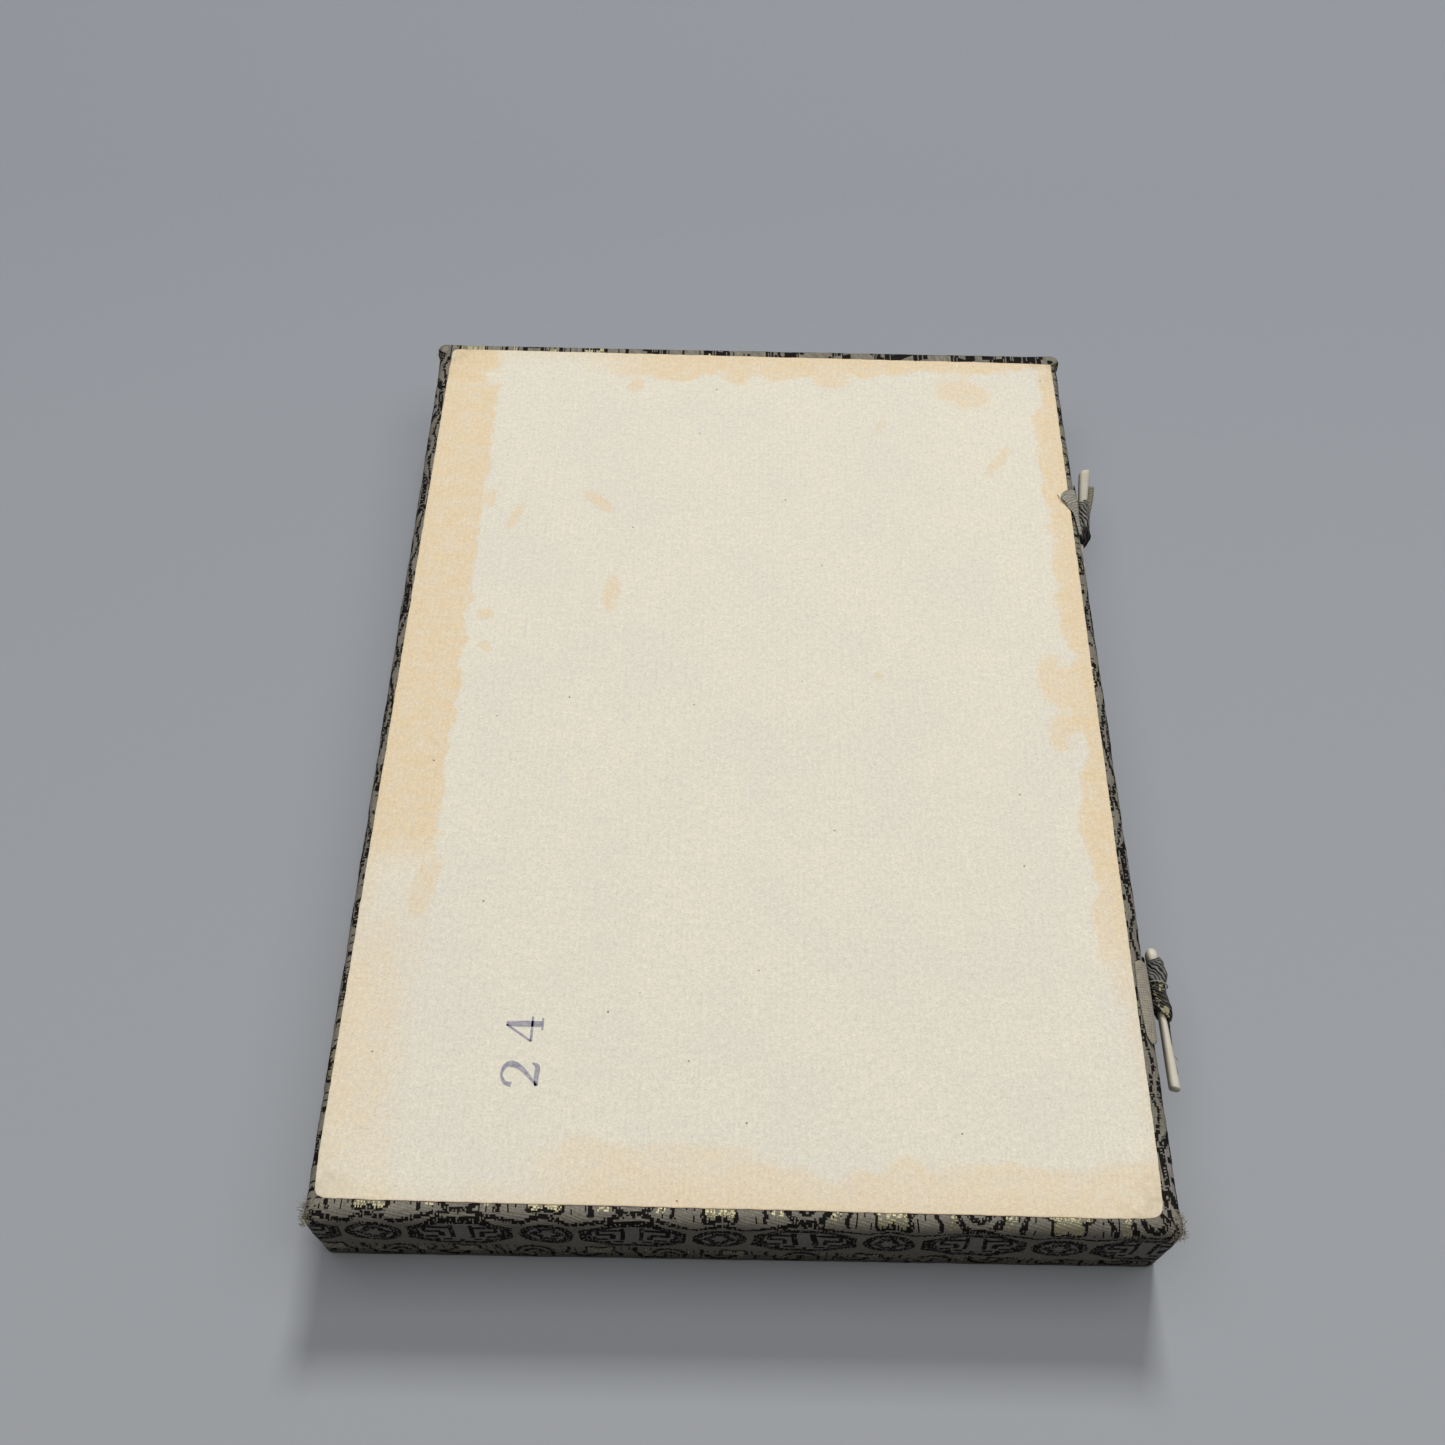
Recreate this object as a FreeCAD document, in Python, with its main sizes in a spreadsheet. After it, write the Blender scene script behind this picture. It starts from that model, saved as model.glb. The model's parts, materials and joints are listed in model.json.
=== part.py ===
"""Silk-brocade card deck box, lying upside down on its lid.

Millimetres, +Z up. X is across the box with the clasps on +X and the cloth hinge on -X, and
Y is along its length. The origin is under the middle of the lid's outer face.
Going up: the lid, the seam, then the tray with its mouth down and its papered base on top.
"""
import FreeCAD, Part
import Sketcher
import math
import os
import re

Vector = FreeCAD.Vector
doc = FreeCAD.newDocument("CardDeckBox")

# ---------------------------------------------------------------- driving dimensions
DIMENSIONS = [
    # the box as a whole
    ("box_width", 154.8), ("box_length", 213.9),
    ("corner_radius", 1.2), ("edge_radius", 0.4),
    # what it is made of
    ("board", 2.0), ("wall_board", 2.5), ("brocade", 0.5), ("wadding", 0.8),
    ("lining", 0.4), ("lining_card", 0.6), ("base_sheet", 0.2),
    # the tray
    ("wall_height", 16.1), ("seam_gap", 0.15), ("turn_in", 14.0),
    ("pad_thick", 1.0), ("lining_reveal", 1.0), ("lining_gap", 0.1),
    ("mitre_width", 0.3), ("mitre_depth", 0.2),
    # the pasted paper
    ("paper_side_margin", 2.4), ("paper_end_margin", 2.35), ("paper_radius", 3.0),
    ("paper_right", -0.1), ("paper_far", 0.85), ("paper_skew", 0.45),
    # the lid
    ("lid_turn_in", 12.0), ("wadding_radius", 0.6), ("panel_clearance", 1.0),
    # the cloth hinge
    ("hinge_cloth_thick", 0.4), ("hinge_cloth_inset", 2.0), ("hinge_cloth_low", 0.8),
    ("hinge_cloth_rise", 6.0),
    ("inner_strip_thick", 0.3), ("inner_strip_reach", 7.0), ("inner_strip_inset", 3.0),
    # the bone pins
    ("pin_length", 27.8), ("pin_head_height", 3.4), ("pin_head_thick", 2.0),
    ("pin_waist", 8.5), ("pin_waist_height", 3.9), ("pin_waist_thick", 2.3),
    ("pin_tip_height", 2.6), ("pin_tip_thick", 1.6), ("pin_section_radius", 0.5),
    ("pin_drop", 8.0), ("slot_start", 1.5), ("slot_length", 4.4), ("slot_gap", 0.9),
    ("near_head_y", -49.25), ("near_standoff", 3.8), ("near_splay", 1.5),
    ("far_head_y", 50.25), ("far_standoff", 3.2), ("far_splay", 2.5),
    # the straps and loops that hold the pins
    ("ribbon", 0.4), ("strap_width", 4.0), ("strap_play", 0.2),
    ("strap_root_low", 0.9), ("strap_root_high", 3.0), ("strap_belly", 1.4),
    ("loop_play", 0.5), ("loop_hang", 3.0), ("root_gap", 0.15),
    ("near_loop_start", 6.1), ("near_loop_width", 7.5),
    ("far_loop_start", 11.0), ("far_loop_width", 6.6), ("far_tab_reach", 3.6),
]

sheet = doc.addObject("Spreadsheet::Sheet", "Sizes")
for row, (alias, number) in enumerate(DIMENSIONS, start=1):
    sheet.set(f"A{row}", alias)
    sheet.set(f"B{row}", str(number))
    sheet.setAlias(f"B{row}", alias)
doc.recompute()

ALIASES = {alias for alias, _ in DIMENSIONS}


def size(alias):
    """The number that a cell holds."""
    return float(sheet.get(alias))


def cell(match):
    """A word of a formula, pointed at its cell where it is an alias."""
    word = match.group()
    return f"Sizes.{word}" if word in ALIASES else word


def bind(item, path, formula):
    """Ties a property to a formula written with the sheet's aliases."""
    item.setExpression(path, re.sub(r"[a-z]\w+", cell, formula))


# Levels, from the table up. Each is a formula, so that everything above follows it.
LID_BOARD_Z = "(brocade + wadding)"
LID_FACE_Z = f"({LID_BOARD_Z} + board)"
LID_TOP_Z = f"({LID_FACE_Z} + brocade)"
RIM_Z = f"({LID_TOP_Z} + seam_gap)"
WALL_Z = f"({RIM_Z} + brocade)"
FLOOR_Z = f"({WALL_Z} + wall_height)"
BASE_TOP_Z = f"({FLOOR_Z} + board)"
BORDER_Z = f"({BASE_TOP_Z} + brocade)"

# Plan sizes, from the outside in.
CORE_WIDTH = "(box_width - 2 * brocade)"
CORE_LENGTH = "(box_length - 2 * brocade)"
WELL_WIDTH = f"({CORE_WIDTH} - 2 * wall_board - 2 * brocade)"
WELL_LENGTH = f"({CORE_LENGTH} - 2 * wall_board - 2 * brocade)"
LINED_WIDTH = f"({WELL_WIDTH} - 2 * lining_card)"
LINED_LENGTH = f"({WELL_LENGTH} - 2 * lining_card)"


# The paper is pasted a little off square, inside a margin of brocade.
PAPER_WIDTH = "(box_width - 2 * paper_side_margin)"
PAPER_LENGTH = "(box_length - 2 * paper_end_margin)"


# ---------------------------------------------------------------- building blocks
def plane(body, role):
    """One of a body's own origin planes."""
    return next(p for p in body.Origin.OriginFeatures if p.Role == role)


def new_sketch(body, name, role):
    """An empty sketch on one of the body's own origin planes."""
    sketch = body.newObject("Sketcher::SketchObject", name)
    sketch.AttachmentSupport = [(plane(body, role), "")]
    sketch.MapMode = "FlatFace"
    return sketch


def rectangle(body, name, role, width, height, centre=("0", "0")):
    """A sketch of a rectangle whose width, height and centre are formulas."""
    sketch = new_sketch(body, name, role)
    corners = [Vector(-1, -1), Vector(1, -1), Vector(1, 1), Vector(-1, 1)]
    for start, end in zip(corners, corners[1:] + corners[:1]):
        sketch.addGeometry(Part.LineSegment(start, end))
    for line in range(4):
        level = "Horizontal" if line % 2 == 0 else "Vertical"
        sketch.addConstraint(Sketcher.Constraint("Coincident", line, 2, (line + 1) % 4, 1))
        sketch.addConstraint(Sketcher.Constraint(level, line))
    placed = [
        (("DistanceX", 0, 1, 0, 2, 2), width),
        (("DistanceY", 1, 1, 1, 2, 2), height),
        (("DistanceX", -1, 1, 0, 1, -1), f"{centre[0]} - ({width}) / 2"),
        (("DistanceY", -1, 1, 0, 1, -1), f"{centre[1]} - ({height}) / 2"),
    ]
    for rule, formula in placed:
        index = sketch.addConstraint(Sketcher.Constraint(*rule))
        bind(sketch, f"Constraints[{index}]", formula)
    return sketch


def pad(body, sketch, name, length):
    feature = body.newObject("PartDesign::Pad", name)
    feature.Profile = sketch
    bind(feature, "Length", length)
    doc.recompute()
    return feature


def pocket(body, sketch, name, length, reverse=True):
    """Cuts into the body, and makes sure that something was cut."""
    before = body.Shape.Volume
    feature = body.newObject("PartDesign::Pocket", name)
    feature.Profile = sketch
    feature.Reversed = reverse
    bind(feature, "Length", length)
    doc.recompute()
    if body.Shape.Volume >= before:
        raise ValueError(f"{name} cuts nothing")
    return feature


def is_upright(edge):
    box = edge.BoundBox
    return box.ZLength > 1e-6 and box.XLength < 1e-6 and box.YLength < 1e-6


def outward_corners(body, sign):
    """A test for a wall's upright edges on the side away from the middle of the box."""
    middle = body.Shape.CenterOfMass.x
    return lambda e: is_upright(e) and sign * (e.CenterOfMass.x - middle) > 0


def lies_at(height):
    """A test for the edges that lie level at a height of the body's own frame."""
    return lambda e: abs(e.BoundBox.ZMin - height) < 1e-6 and e.BoundBox.ZLength < 1e-6


def round_edges(body, name, wanted, radius):
    """Fillets the tip feature's edges that pass a test."""
    tip = body.Tip
    names = [f"Edge{i}" for i, e in enumerate(tip.Shape.Edges, start=1) if wanted(e)]
    feature = body.newObject("PartDesign::Fillet", name)
    feature.Base = (tip, names)
    bind(feature, "Radius", radius)
    doc.recompute()
    return feature


def slab(label, width, length, thick, level, radius=None, centre=("0", "0")):
    """A flat rectangular piece, centred on the box, with its lower face at a level."""
    body = doc.addObject("PartDesign::Body", label)
    body.Label = label
    outline = rectangle(body, f"{label}_outline", "XY_Plane", width, length, centre)
    pad(body, outline, f"{label}_pad", thick)
    if radius:
        round_edges(body, f"{label}_corners", is_upright, radius)
    bind(body, ".Placement.Base.z", level)
    return body


def cut_slots(body, label, width, depth, level, reach, size_x, size_y):
    """Mitre lines across the four corners of a turned-in border.

    Each runs at 45 degrees from the outer corner inwards, just into the cloth's face.
    """
    tools = []
    for index, (right, far) in enumerate([(1, 1), (-1, 1), (-1, -1), (1, -1)]):
        tool = doc.addObject("Part::Box", f"{label}_mitre_{index + 1}")
        bind(tool, "Length", f"({reach}) * 1.6")
        bind(tool, "Width", width)
        bind(tool, "Height", f"2 * {depth}")
        angle = math.degrees(math.atan2(-far, -right))
        tool.Placement.Rotation = FreeCAD.Rotation(Vector(0, 0, 1), angle)
        side_x = -math.sin(math.radians(angle))
        side_y = math.cos(math.radians(angle))
        bind(tool, ".Placement.Base.x", f"{right} * ({size_x}) / 2 - {side_x:.6f} * {width} / 2")
        bind(tool, ".Placement.Base.y", f"{far} * ({size_y}) / 2 - {side_y:.6f} * {width} / 2")
        bind(tool, ".Placement.Base.z", f"{level} - {depth}")
        tools.append(tool)
    return minus(label, body, tools)


def minus(label, whole, tools):
    """A piece that is what the tools leave of a whole."""
    gathered = tools[0]
    if len(tools) > 1:
        gathered = doc.addObject("Part::MultiFuse", f"{label}_tools")
        gathered.Shapes = tools
    cut = doc.addObject("Part::Cut", label)
    cut.Label = label
    cut.Base = whole
    cut.Tool = gathered
    doc.recompute()
    if cut.Shape.Volume >= whole.Shape.Volume:
        raise ValueError(f"{label} has nothing cut from it")
    return cut


# ---------------------------------------------------------------- the lid
def make_lid():
    lid_wadding = slab("lid_wadding", CORE_WIDTH, CORE_LENGTH, "wadding", "brocade", "corner_radius")
    round_edges(lid_wadding, "lid_wadding_edge", lies_at(0), "wadding_radius")
    lid_board = slab("lid_board", CORE_WIDTH, CORE_LENGTH, "board", LID_BOARD_Z, "corner_radius")

    # The brocade is folded round board and wadding and turned in over the inner face.
    form = slab("lid_form", "box_width", "box_length", LID_TOP_Z, "0", "corner_radius")
    round_edges(form, "lid_form_edge", lies_at(0), "wadding_radius + brocade")
    window = slab("lid_window", "box_width - 2 * lid_turn_in", "box_length - 2 * lid_turn_in",
                  "2 * brocade", LID_FACE_Z)
    folded = minus("lid_cover_folded", form, [lid_wadding, lid_board, window])
    lid_cover = cut_slots(folded, "lid_cover", "mitre_width", "mitre_depth", LID_TOP_Z,
                          "lid_turn_in", "box_width", "box_length")

    # The silk panel fills the window and laps over the turn-ins, short of the tray's walls.
    panel_width = f"({WELL_WIDTH} - 2 * panel_clearance)"
    panel_length = f"({WELL_LENGTH} - 2 * panel_clearance)"
    lid_lining = doc.addObject("PartDesign::Body", "lid_lining")
    core = rectangle(lid_lining, "lining_core", "XY_Plane", "box_width - 2 * lid_turn_in",
                     "box_length - 2 * lid_turn_in")
    pad(lid_lining, core, "lining_core_pad", "brocade + lining")
    face = rectangle(lid_lining, "lining_face", "XY_Plane", panel_width, panel_length)
    bind(face, ".AttachmentOffset.Base.z", "brocade")
    pad(lid_lining, face, "lining_face_pad", "lining")
    bind(lid_lining, ".Placement.Base.z", LID_FACE_Z)
    doc.recompute()
    return [lid_board, lid_wadding, lid_cover, lid_lining]


# ---------------------------------------------------------------- the tray
def make_boards():
    """Four walls and a base. The long walls run full length and the short ones fit between."""
    boards = []
    short = f"({CORE_WIDTH} - 2 * wall_board)"
    for side, sign in (("left", -1), ("right", 1)):
        centre = (f"{sign} * ({CORE_WIDTH} - wall_board) / 2", "0")
        wall = slab(f"{side}_wall_board", "wall_board", CORE_LENGTH, "wall_height", WALL_Z, None,
                    centre)
        round_edges(wall, f"{side}_wall_corners", outward_corners(wall, sign), "corner_radius")
        boards.append(wall)
    for side, sign in (("near", -1), ("far", 1)):
        centre = ("0", f"{sign} * ({CORE_LENGTH} - wall_board) / 2")
        boards.append(slab(f"{side}_wall_board", short, "wall_board", "wall_height", WALL_Z,
                           None, centre))
    boards.append(slab("base_board", CORE_WIDTH, CORE_LENGTH, "board", FLOOR_Z, "corner_radius"))
    return boards


def make_tray_cover(boards):
    """Brocade folded over the base's edges and over the rim, and up the inside of the walls."""
    form = doc.addObject("PartDesign::Body", "tray_form")
    outline = rectangle(form, "tray_form_outline", "XY_Plane", "box_width", "box_length")
    pad(form, outline, "tray_form_pad", f"{BORDER_Z} - {RIM_Z}")
    round_edges(form, "tray_form_corners", is_upright, "corner_radius")
    height = form.Shape.BoundBox.ZMax
    round_edges(form, "tray_form_edge", lies_at(height), "edge_radius")
    bind(form, ".Placement.Base.z", RIM_Z)

    well = slab("tray_cover_well", WELL_WIDTH, WELL_LENGTH, f"{FLOOR_Z} - {RIM_Z} + seam_gap",
                LID_TOP_Z)
    window = slab("tray_cover_window", "box_width - 2 * turn_in", "box_length - 2 * turn_in",
                  "2 * brocade", BASE_TOP_Z)
    folded = minus("tray_cover_folded", form, boards + [well, window])
    return cut_slots(folded, "tray_cover", "mitre_width", "mitre_depth", BORDER_Z,
                     "turn_in", "box_width", "box_length")


def make_base_finish():
    """The card that levels the base inside the turn-ins, and the paper pasted over both."""
    infill = slab("base_infill_card", "box_width - 2 * turn_in", "box_length - 2 * turn_in",
                  "brocade", BASE_TOP_Z)
    paper = slab("base_paper", PAPER_WIDTH, PAPER_LENGTH, "base_sheet", BORDER_Z, "paper_radius")
    bind(paper, ".Placement.Base.x", "paper_right")
    bind(paper, ".Placement.Base.y", "paper_far")
    bind(paper, ".Placement.Rotation.Angle", "-paper_skew")
    return [infill, paper]


def make_well_linings():
    """Silk-covered card round the walls, and a padded silk floor inside it."""
    wall_lining = slab("wall_lining", WELL_WIDTH, WELL_LENGTH, "wall_height + brocade - lining_reveal",
                       f"{RIM_Z} + lining_reveal")
    inside = rectangle(wall_lining, "wall_lining_inside", "XY_Plane", LINED_WIDTH, LINED_LENGTH)
    pocket(wall_lining, inside, "wall_lining_pocket", "wall_height + brocade")

    floor_width = f"({LINED_WIDTH} - 2 * lining_gap)"
    floor_length = f"({LINED_LENGTH} - 2 * lining_gap)"
    pad_width = f"({floor_width} - 2 * lining)"
    pad_length = f"({floor_length} - 2 * lining)"
    floor_pad = slab("floor_pad", pad_width, pad_length, "pad_thick", f"{FLOOR_Z} - pad_thick")
    floor_whole = slab("floor_lining_form", floor_width, floor_length, "pad_thick + lining",
                       f"{FLOOR_Z} - pad_thick - lining")
    floor_lining = minus("floor_lining", floor_whole, [floor_pad])
    return [wall_lining, floor_pad, floor_lining]


# ---------------------------------------------------------------- the cloth hinge
def make_hinge():
    """One strip outside over the seam, and an angle strip inside over the joint."""
    strip_length = "box_length - 2 * hinge_cloth_inset"
    outer = slab("hinge_cloth", "hinge_cloth_thick", strip_length, f"{LID_TOP_Z} + hinge_cloth_rise",
                 "hinge_cloth_low", None, ("-(box_width + hinge_cloth_thick) / 2", "0"))
    inner = doc.addObject("PartDesign::Body", "inner_hinge_strip")
    length = f"({LINED_LENGTH} - 2 * inner_strip_inset)"
    left = f"(-{LINED_WIDTH} / 2)"
    flat = rectangle(inner, "inner_strip_flat", "XY_Plane", "inner_strip_reach", length,
                     (f"{left} + inner_strip_reach / 2", "0"))
    pad(inner, flat, "inner_strip_flat_pad", "inner_strip_thick")
    wall = rectangle(inner, "inner_strip_wall", "XY_Plane", "inner_strip_thick", length,
                     (f"{left} + inner_strip_thick / 2", "0"))
    pad(inner, wall, "inner_strip_wall_pad", "inner_strip_reach")
    bind(inner, ".Placement.Base.z", f"{LID_TOP_Z} + lining")
    doc.recompute()
    return [outer, inner]


# ---------------------------------------------------------------- the bone pins
def pin_section(body, name, along, height, thick):
    """One rounded section of a pin, at a distance along its length."""
    sketch = new_sketch(body, name, "XZ_Plane")
    bind(sketch, ".AttachmentOffset.Base.z", f"-({along})")
    half_x, half_z, radius = size(thick) / 2, size(height) / 2, size("pin_section_radius")
    turn = radius * (1 - math.sqrt(0.5))
    for right, up in ((1, 1), (-1, 1), (-1, -1), (1, -1)):
        beside = Vector(right * half_x, up * (half_z - radius), 0)
        over = Vector(right * (half_x - radius), up * half_z, 0)
        middle = Vector(right * (half_x - turn), up * (half_z - turn), 0)
        ends = (beside, over) if right == up else (over, beside)
        sketch.addGeometry(Part.Arc(ends[0], middle, ends[1]))
        if right == up:
            across = Vector(-over.x, over.y, 0)
            sketch.addGeometry(Part.LineSegment(over, across))
        else:
            down = Vector(beside.x, -beside.y, 0)
            sketch.addGeometry(Part.LineSegment(beside, down))
    return sketch


def make_pin(label, head_y, standoff, turn):
    """A pin swells behind its head, tapers to a square tip and has a slot for the strap."""
    body = doc.addObject("PartDesign::Body", label)
    sections = [
        pin_section(body, f"{label}_head", "0", "pin_head_height", "pin_head_thick"),
        pin_section(body, f"{label}_waist", "pin_waist", "pin_waist_height", "pin_waist_thick"),
        pin_section(body, f"{label}_tip", "pin_length", "pin_tip_height", "pin_tip_thick"),
    ]
    loft = body.newObject("PartDesign::AdditiveLoft", f"{label}_loft")
    loft.Profile = sections[0]
    loft.Sections = sections[1:]
    loft.Ruled = True
    doc.recompute()
    slot = rectangle(body, f"{label}_slot", "YZ_Plane", "slot_length", "slot_gap",
                     ("slot_start + slot_length / 2", "0"))
    cut = pocket(body, slot, f"{label}_slot_cut", "2 * pin_waist_thick")
    cut.Midplane = True
    bind(body, ".Placement.Base.x", f"box_width / 2 + {standoff}")
    bind(body, ".Placement.Base.y", head_y)
    bind(body, ".Placement.Base.z", f"{BORDER_Z} + base_sheet - pin_drop")
    bind(body, ".Placement.Rotation.Angle", turn)
    doc.recompute()
    return body


# ---------------------------------------------------------------- ribbons
def ribbon(points, width, closed=False):
    """A ribbon that follows a path in the XZ plane, as one solid as wide as the ribbon."""
    corners = [Vector(x, 0, z) for x, z in points]
    ends = corners[1:] + (corners[:1] if closed else [])
    path = Part.Wire([Part.LineSegment(a, b).toShape() for a, b in zip(corners, ends)])
    across = Vector(0, width, 0)
    half = size("ribbon") / 2
    if not closed:
        return Part.Face(path.makeOffset2D(half, 0, False, False)).extrude(across)
    sides = [Part.Face(path.makeOffset2D(offset)) for offset in (half, -half)]
    outer, inner = sorted(sides, key=lambda face: face.Area, reverse=True)
    return outer.extrude(across).cut(inner.extrude(across))


def oval(centre_x, centre_z, half_x, half_z, steps=6):
    """Points round an upright oval with straight sides and round ends."""
    points = []
    for sign in (1, -1):
        for step in range(steps + 1):
            turn = math.pi * step / steps
            points.append((centre_x + sign * half_x * math.cos(turn),
                           centre_z + sign * (half_z - half_x + half_x * math.sin(turn))))
    return points


def off_wall(standoff, splay, along):
    """How far a pin's centre line stands off the wall, at a distance from its head."""
    return size(standoff) + along * math.sin(math.radians(size(splay)))


def sewn(label, bands, low_y):
    """Bands joined into one piece and set at their place along the box."""
    piece = doc.addObject("Part::Feature", label)
    piece.Label = label
    piece.Shape = bands[0].fuse(bands[1:]).removeSplitter()
    piece.Placement.Base.y = low_y
    return piece


def make_strap(label, head_y, standoff, splay, tipwards):
    """A band from the lid's edge that goes up behind the pin and returns through its slot."""
    face_x = size("box_width") / 2
    half = size("ribbon") / 2
    pin_x = face_x + off_wall(standoff, splay, size("slot_start") + size("slot_length") / 2)
    pin_z = near_pin.Placement.Base.z
    reach_x = size("pin_waist_thick") / 2 + size("strap_play") + half
    top = pin_z + size("pin_waist_height") / 2 + size("strap_play") + half
    back_x = pin_x - reach_x
    root_high = size("strap_root_high")
    tail = [
        (face_x + half, size("strap_root_low")), (face_x + half, root_high),
        (back_x + size("strap_belly"), root_high + (pin_z - root_high) / 3),
        (back_x, pin_z - size("pin_waist_height") / 2), (back_x, pin_z),
    ]
    round_web = [(back_x, pin_z), (back_x, top), (pin_x + reach_x, top), (pin_x + reach_x, pin_z)]
    width = size("strap_width")
    start = size("slot_start") + (size("slot_length") - width) / 2
    low_y = size(head_y) + (start if tipwards > 0 else -start - width)
    return sewn(label, [ribbon(tail, width), ribbon(round_web, width, closed=True)], low_y)


def paper_edge(along):
    """How far right the pasted paper's clasp side reaches, at a place along the box."""
    skew = math.radians(size("paper_skew"))
    half_width = size("box_width") / 2 - size("paper_side_margin")
    up_edge = (along - size("paper_far") + half_width * math.sin(skew)) / math.cos(skew)
    return size("paper_right") + half_width * math.cos(skew) + up_edge * math.sin(skew)


def make_loop(label, clasp, tab_reach=0.0):
    """A band glued on the base's border that hangs down the wall and goes round the pin."""
    head_y, standoff, splay, start, width, tipwards = clasp
    face_x = size("box_width") / 2
    half = size("ribbon") / 2
    wide = size(width)
    low_y = size(head_y) + (size(start) if tipwards > 0 else -size(start) - wide)
    root_x = paper_edge(low_y + wide) + size("root_gap") + half
    centre_x = face_x + off_wall(standoff, splay, size(start) + wide / 2)
    pin_z = near_pin.Placement.Base.z
    half_x = size("pin_waist_thick") / 2 + size("loop_play") + half
    half_z = size("pin_waist_height") / 2 + size("loop_play") + half
    border_z = pin_z + size("pin_drop") - size("base_sheet")
    wall_x = face_x + half
    hanging = [(root_x, border_z + half), (wall_x, border_z + half),
               (wall_x, pin_z - size("loop_hang"))]
    bands = [ribbon(hanging, wide), neck(face_x, centre_x - half_x, pin_z, wide),
             ribbon(oval(centre_x, pin_z, half_x, half_z), wide, closed=True)]
    if tab_reach:
        bands.append(pointed_tab(root_x + size("ribbon"), border_z, tab_reach, wide))
    return sewn(label, bands, low_y)


def neck(left, right, level, width):
    """The doubled ribbon between the wall and the ring round the pin."""
    return Part.makeBox(right - left, width, 2 * size("ribbon"),
                        Vector(left, 0, level - size("ribbon")))


def pointed_tab(root_x, border_z, reach, width):
    """The ribbon's folded point, which lies over the paper's edge."""
    low = border_z + size("base_sheet")
    corners = [Vector(root_x, 0, low), Vector(root_x - reach, width * 0.3, low),
               Vector(root_x, width, low)]
    face = Part.Face(Part.makePolygon(corners + corners[:1]))
    return face.extrude(Vector(0, 0, size("ribbon")))


# ---------------------------------------------------------------- the assembly
lid = make_lid()
boards = make_boards()
tray_cover = make_tray_cover(boards)
base_infill, base_paper = make_base_finish()
linings = make_well_linings()
hinge = make_hinge()
near_pin = make_pin("near_bone_pin", "near_head_y", "near_standoff", "180 + near_splay")
far_pin = make_pin("far_bone_pin", "far_head_y", "far_standoff", "-far_splay")
doc.recompute()

straps = [
    make_strap("near_strap", "near_head_y", "near_standoff", "near_splay", -1),
    make_strap("far_strap", "far_head_y", "far_standoff", "far_splay", 1),
]
loops = [
    make_loop("near_loop", ("near_head_y", "near_standoff", "near_splay", "near_loop_start",
                            "near_loop_width", -1)),
    make_loop("far_loop", ("far_head_y", "far_standoff", "far_splay", "far_loop_start",
                           "far_loop_width", 1), size("far_tab_reach")),
]
doc.recompute()

subparts = (lid + boards + [tray_cover, base_infill, base_paper] + linings + hinge
            + [near_pin, far_pin] + straps + loops)

# ---------------------------------------------------------------- checks and files
for item in doc.Objects:
    if "Invalid" in item.State or "Error" in item.State:
        raise RuntimeError(f"{item.Label} failed to build: {item.State}")
for part in subparts:
    if part.Shape.isNull() or not part.Shape.isValid():
        raise RuntimeError(f"{part.Label} has no valid shape")

os.makedirs("parts", exist_ok=True)
for part in subparts:
    part.Shape.exportStep(f"parts/{part.Label}.step")
    print(f"{part.Label}: {len(part.Shape.Solids)} solid, {part.Shape.Volume:.1f} mm3")
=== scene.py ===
"""Silk-brocade presentation box that lies on its lid, dressed on its packed CAD frame."""

import json
import math
import random
from functools import partial

import bmesh
import bpy
from bpy.props import FloatProperty, FloatVectorProperty, PointerProperty
from mathutils import Euler, Matrix, Vector, noise


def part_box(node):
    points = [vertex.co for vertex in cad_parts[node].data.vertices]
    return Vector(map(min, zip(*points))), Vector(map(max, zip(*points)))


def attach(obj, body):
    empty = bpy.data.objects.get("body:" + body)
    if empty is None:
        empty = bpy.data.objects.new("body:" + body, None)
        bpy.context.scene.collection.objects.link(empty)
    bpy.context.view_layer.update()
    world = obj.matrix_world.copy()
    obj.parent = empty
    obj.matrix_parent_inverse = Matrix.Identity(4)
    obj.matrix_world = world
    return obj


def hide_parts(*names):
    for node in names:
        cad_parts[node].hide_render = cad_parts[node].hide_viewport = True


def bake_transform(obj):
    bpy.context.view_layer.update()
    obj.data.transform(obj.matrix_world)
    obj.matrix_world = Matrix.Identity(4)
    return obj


bl_info = {
    "name": "Brocade presentation box",
    "version": (1, 0, 0),
    "blender": (4, 5, 0),
    "location": "View3D > Sidebar > Box",
    "description": "Builds the cloth, paper, bone and silk of a flat brocade-covered box",
    "category": "Add Mesh",
}

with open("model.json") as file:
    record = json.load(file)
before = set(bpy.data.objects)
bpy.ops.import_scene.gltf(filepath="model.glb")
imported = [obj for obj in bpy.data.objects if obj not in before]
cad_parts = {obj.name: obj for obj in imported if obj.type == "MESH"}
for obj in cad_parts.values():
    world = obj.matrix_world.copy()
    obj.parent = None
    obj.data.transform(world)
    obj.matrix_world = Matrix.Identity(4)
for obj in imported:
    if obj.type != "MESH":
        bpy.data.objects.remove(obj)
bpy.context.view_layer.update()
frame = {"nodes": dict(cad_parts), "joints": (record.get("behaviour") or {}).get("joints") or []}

MM = 0.001
CLOTH_MAP = "cloth_mm"


def linear(hex_colour):
    """An sRGB hex colour as linear light, with full alpha."""
    parts = [int(hex_colour[at:at + 2], 16) / 255 for at in (1, 3, 5)]
    return tuple(part / 12.92 if part <= 0.04045 else ((part + 0.055) / 1.055) ** 2.4
                 for part in parts) + (1.0,)


def colour(name, description, hex_colour):
    """A colour that the panel shows and a user can change."""
    return FloatVectorProperty(name=name, description=description, default=linear(hex_colour),
                               size=4, min=0.0, max=1.0, subtype="COLOR")


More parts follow.
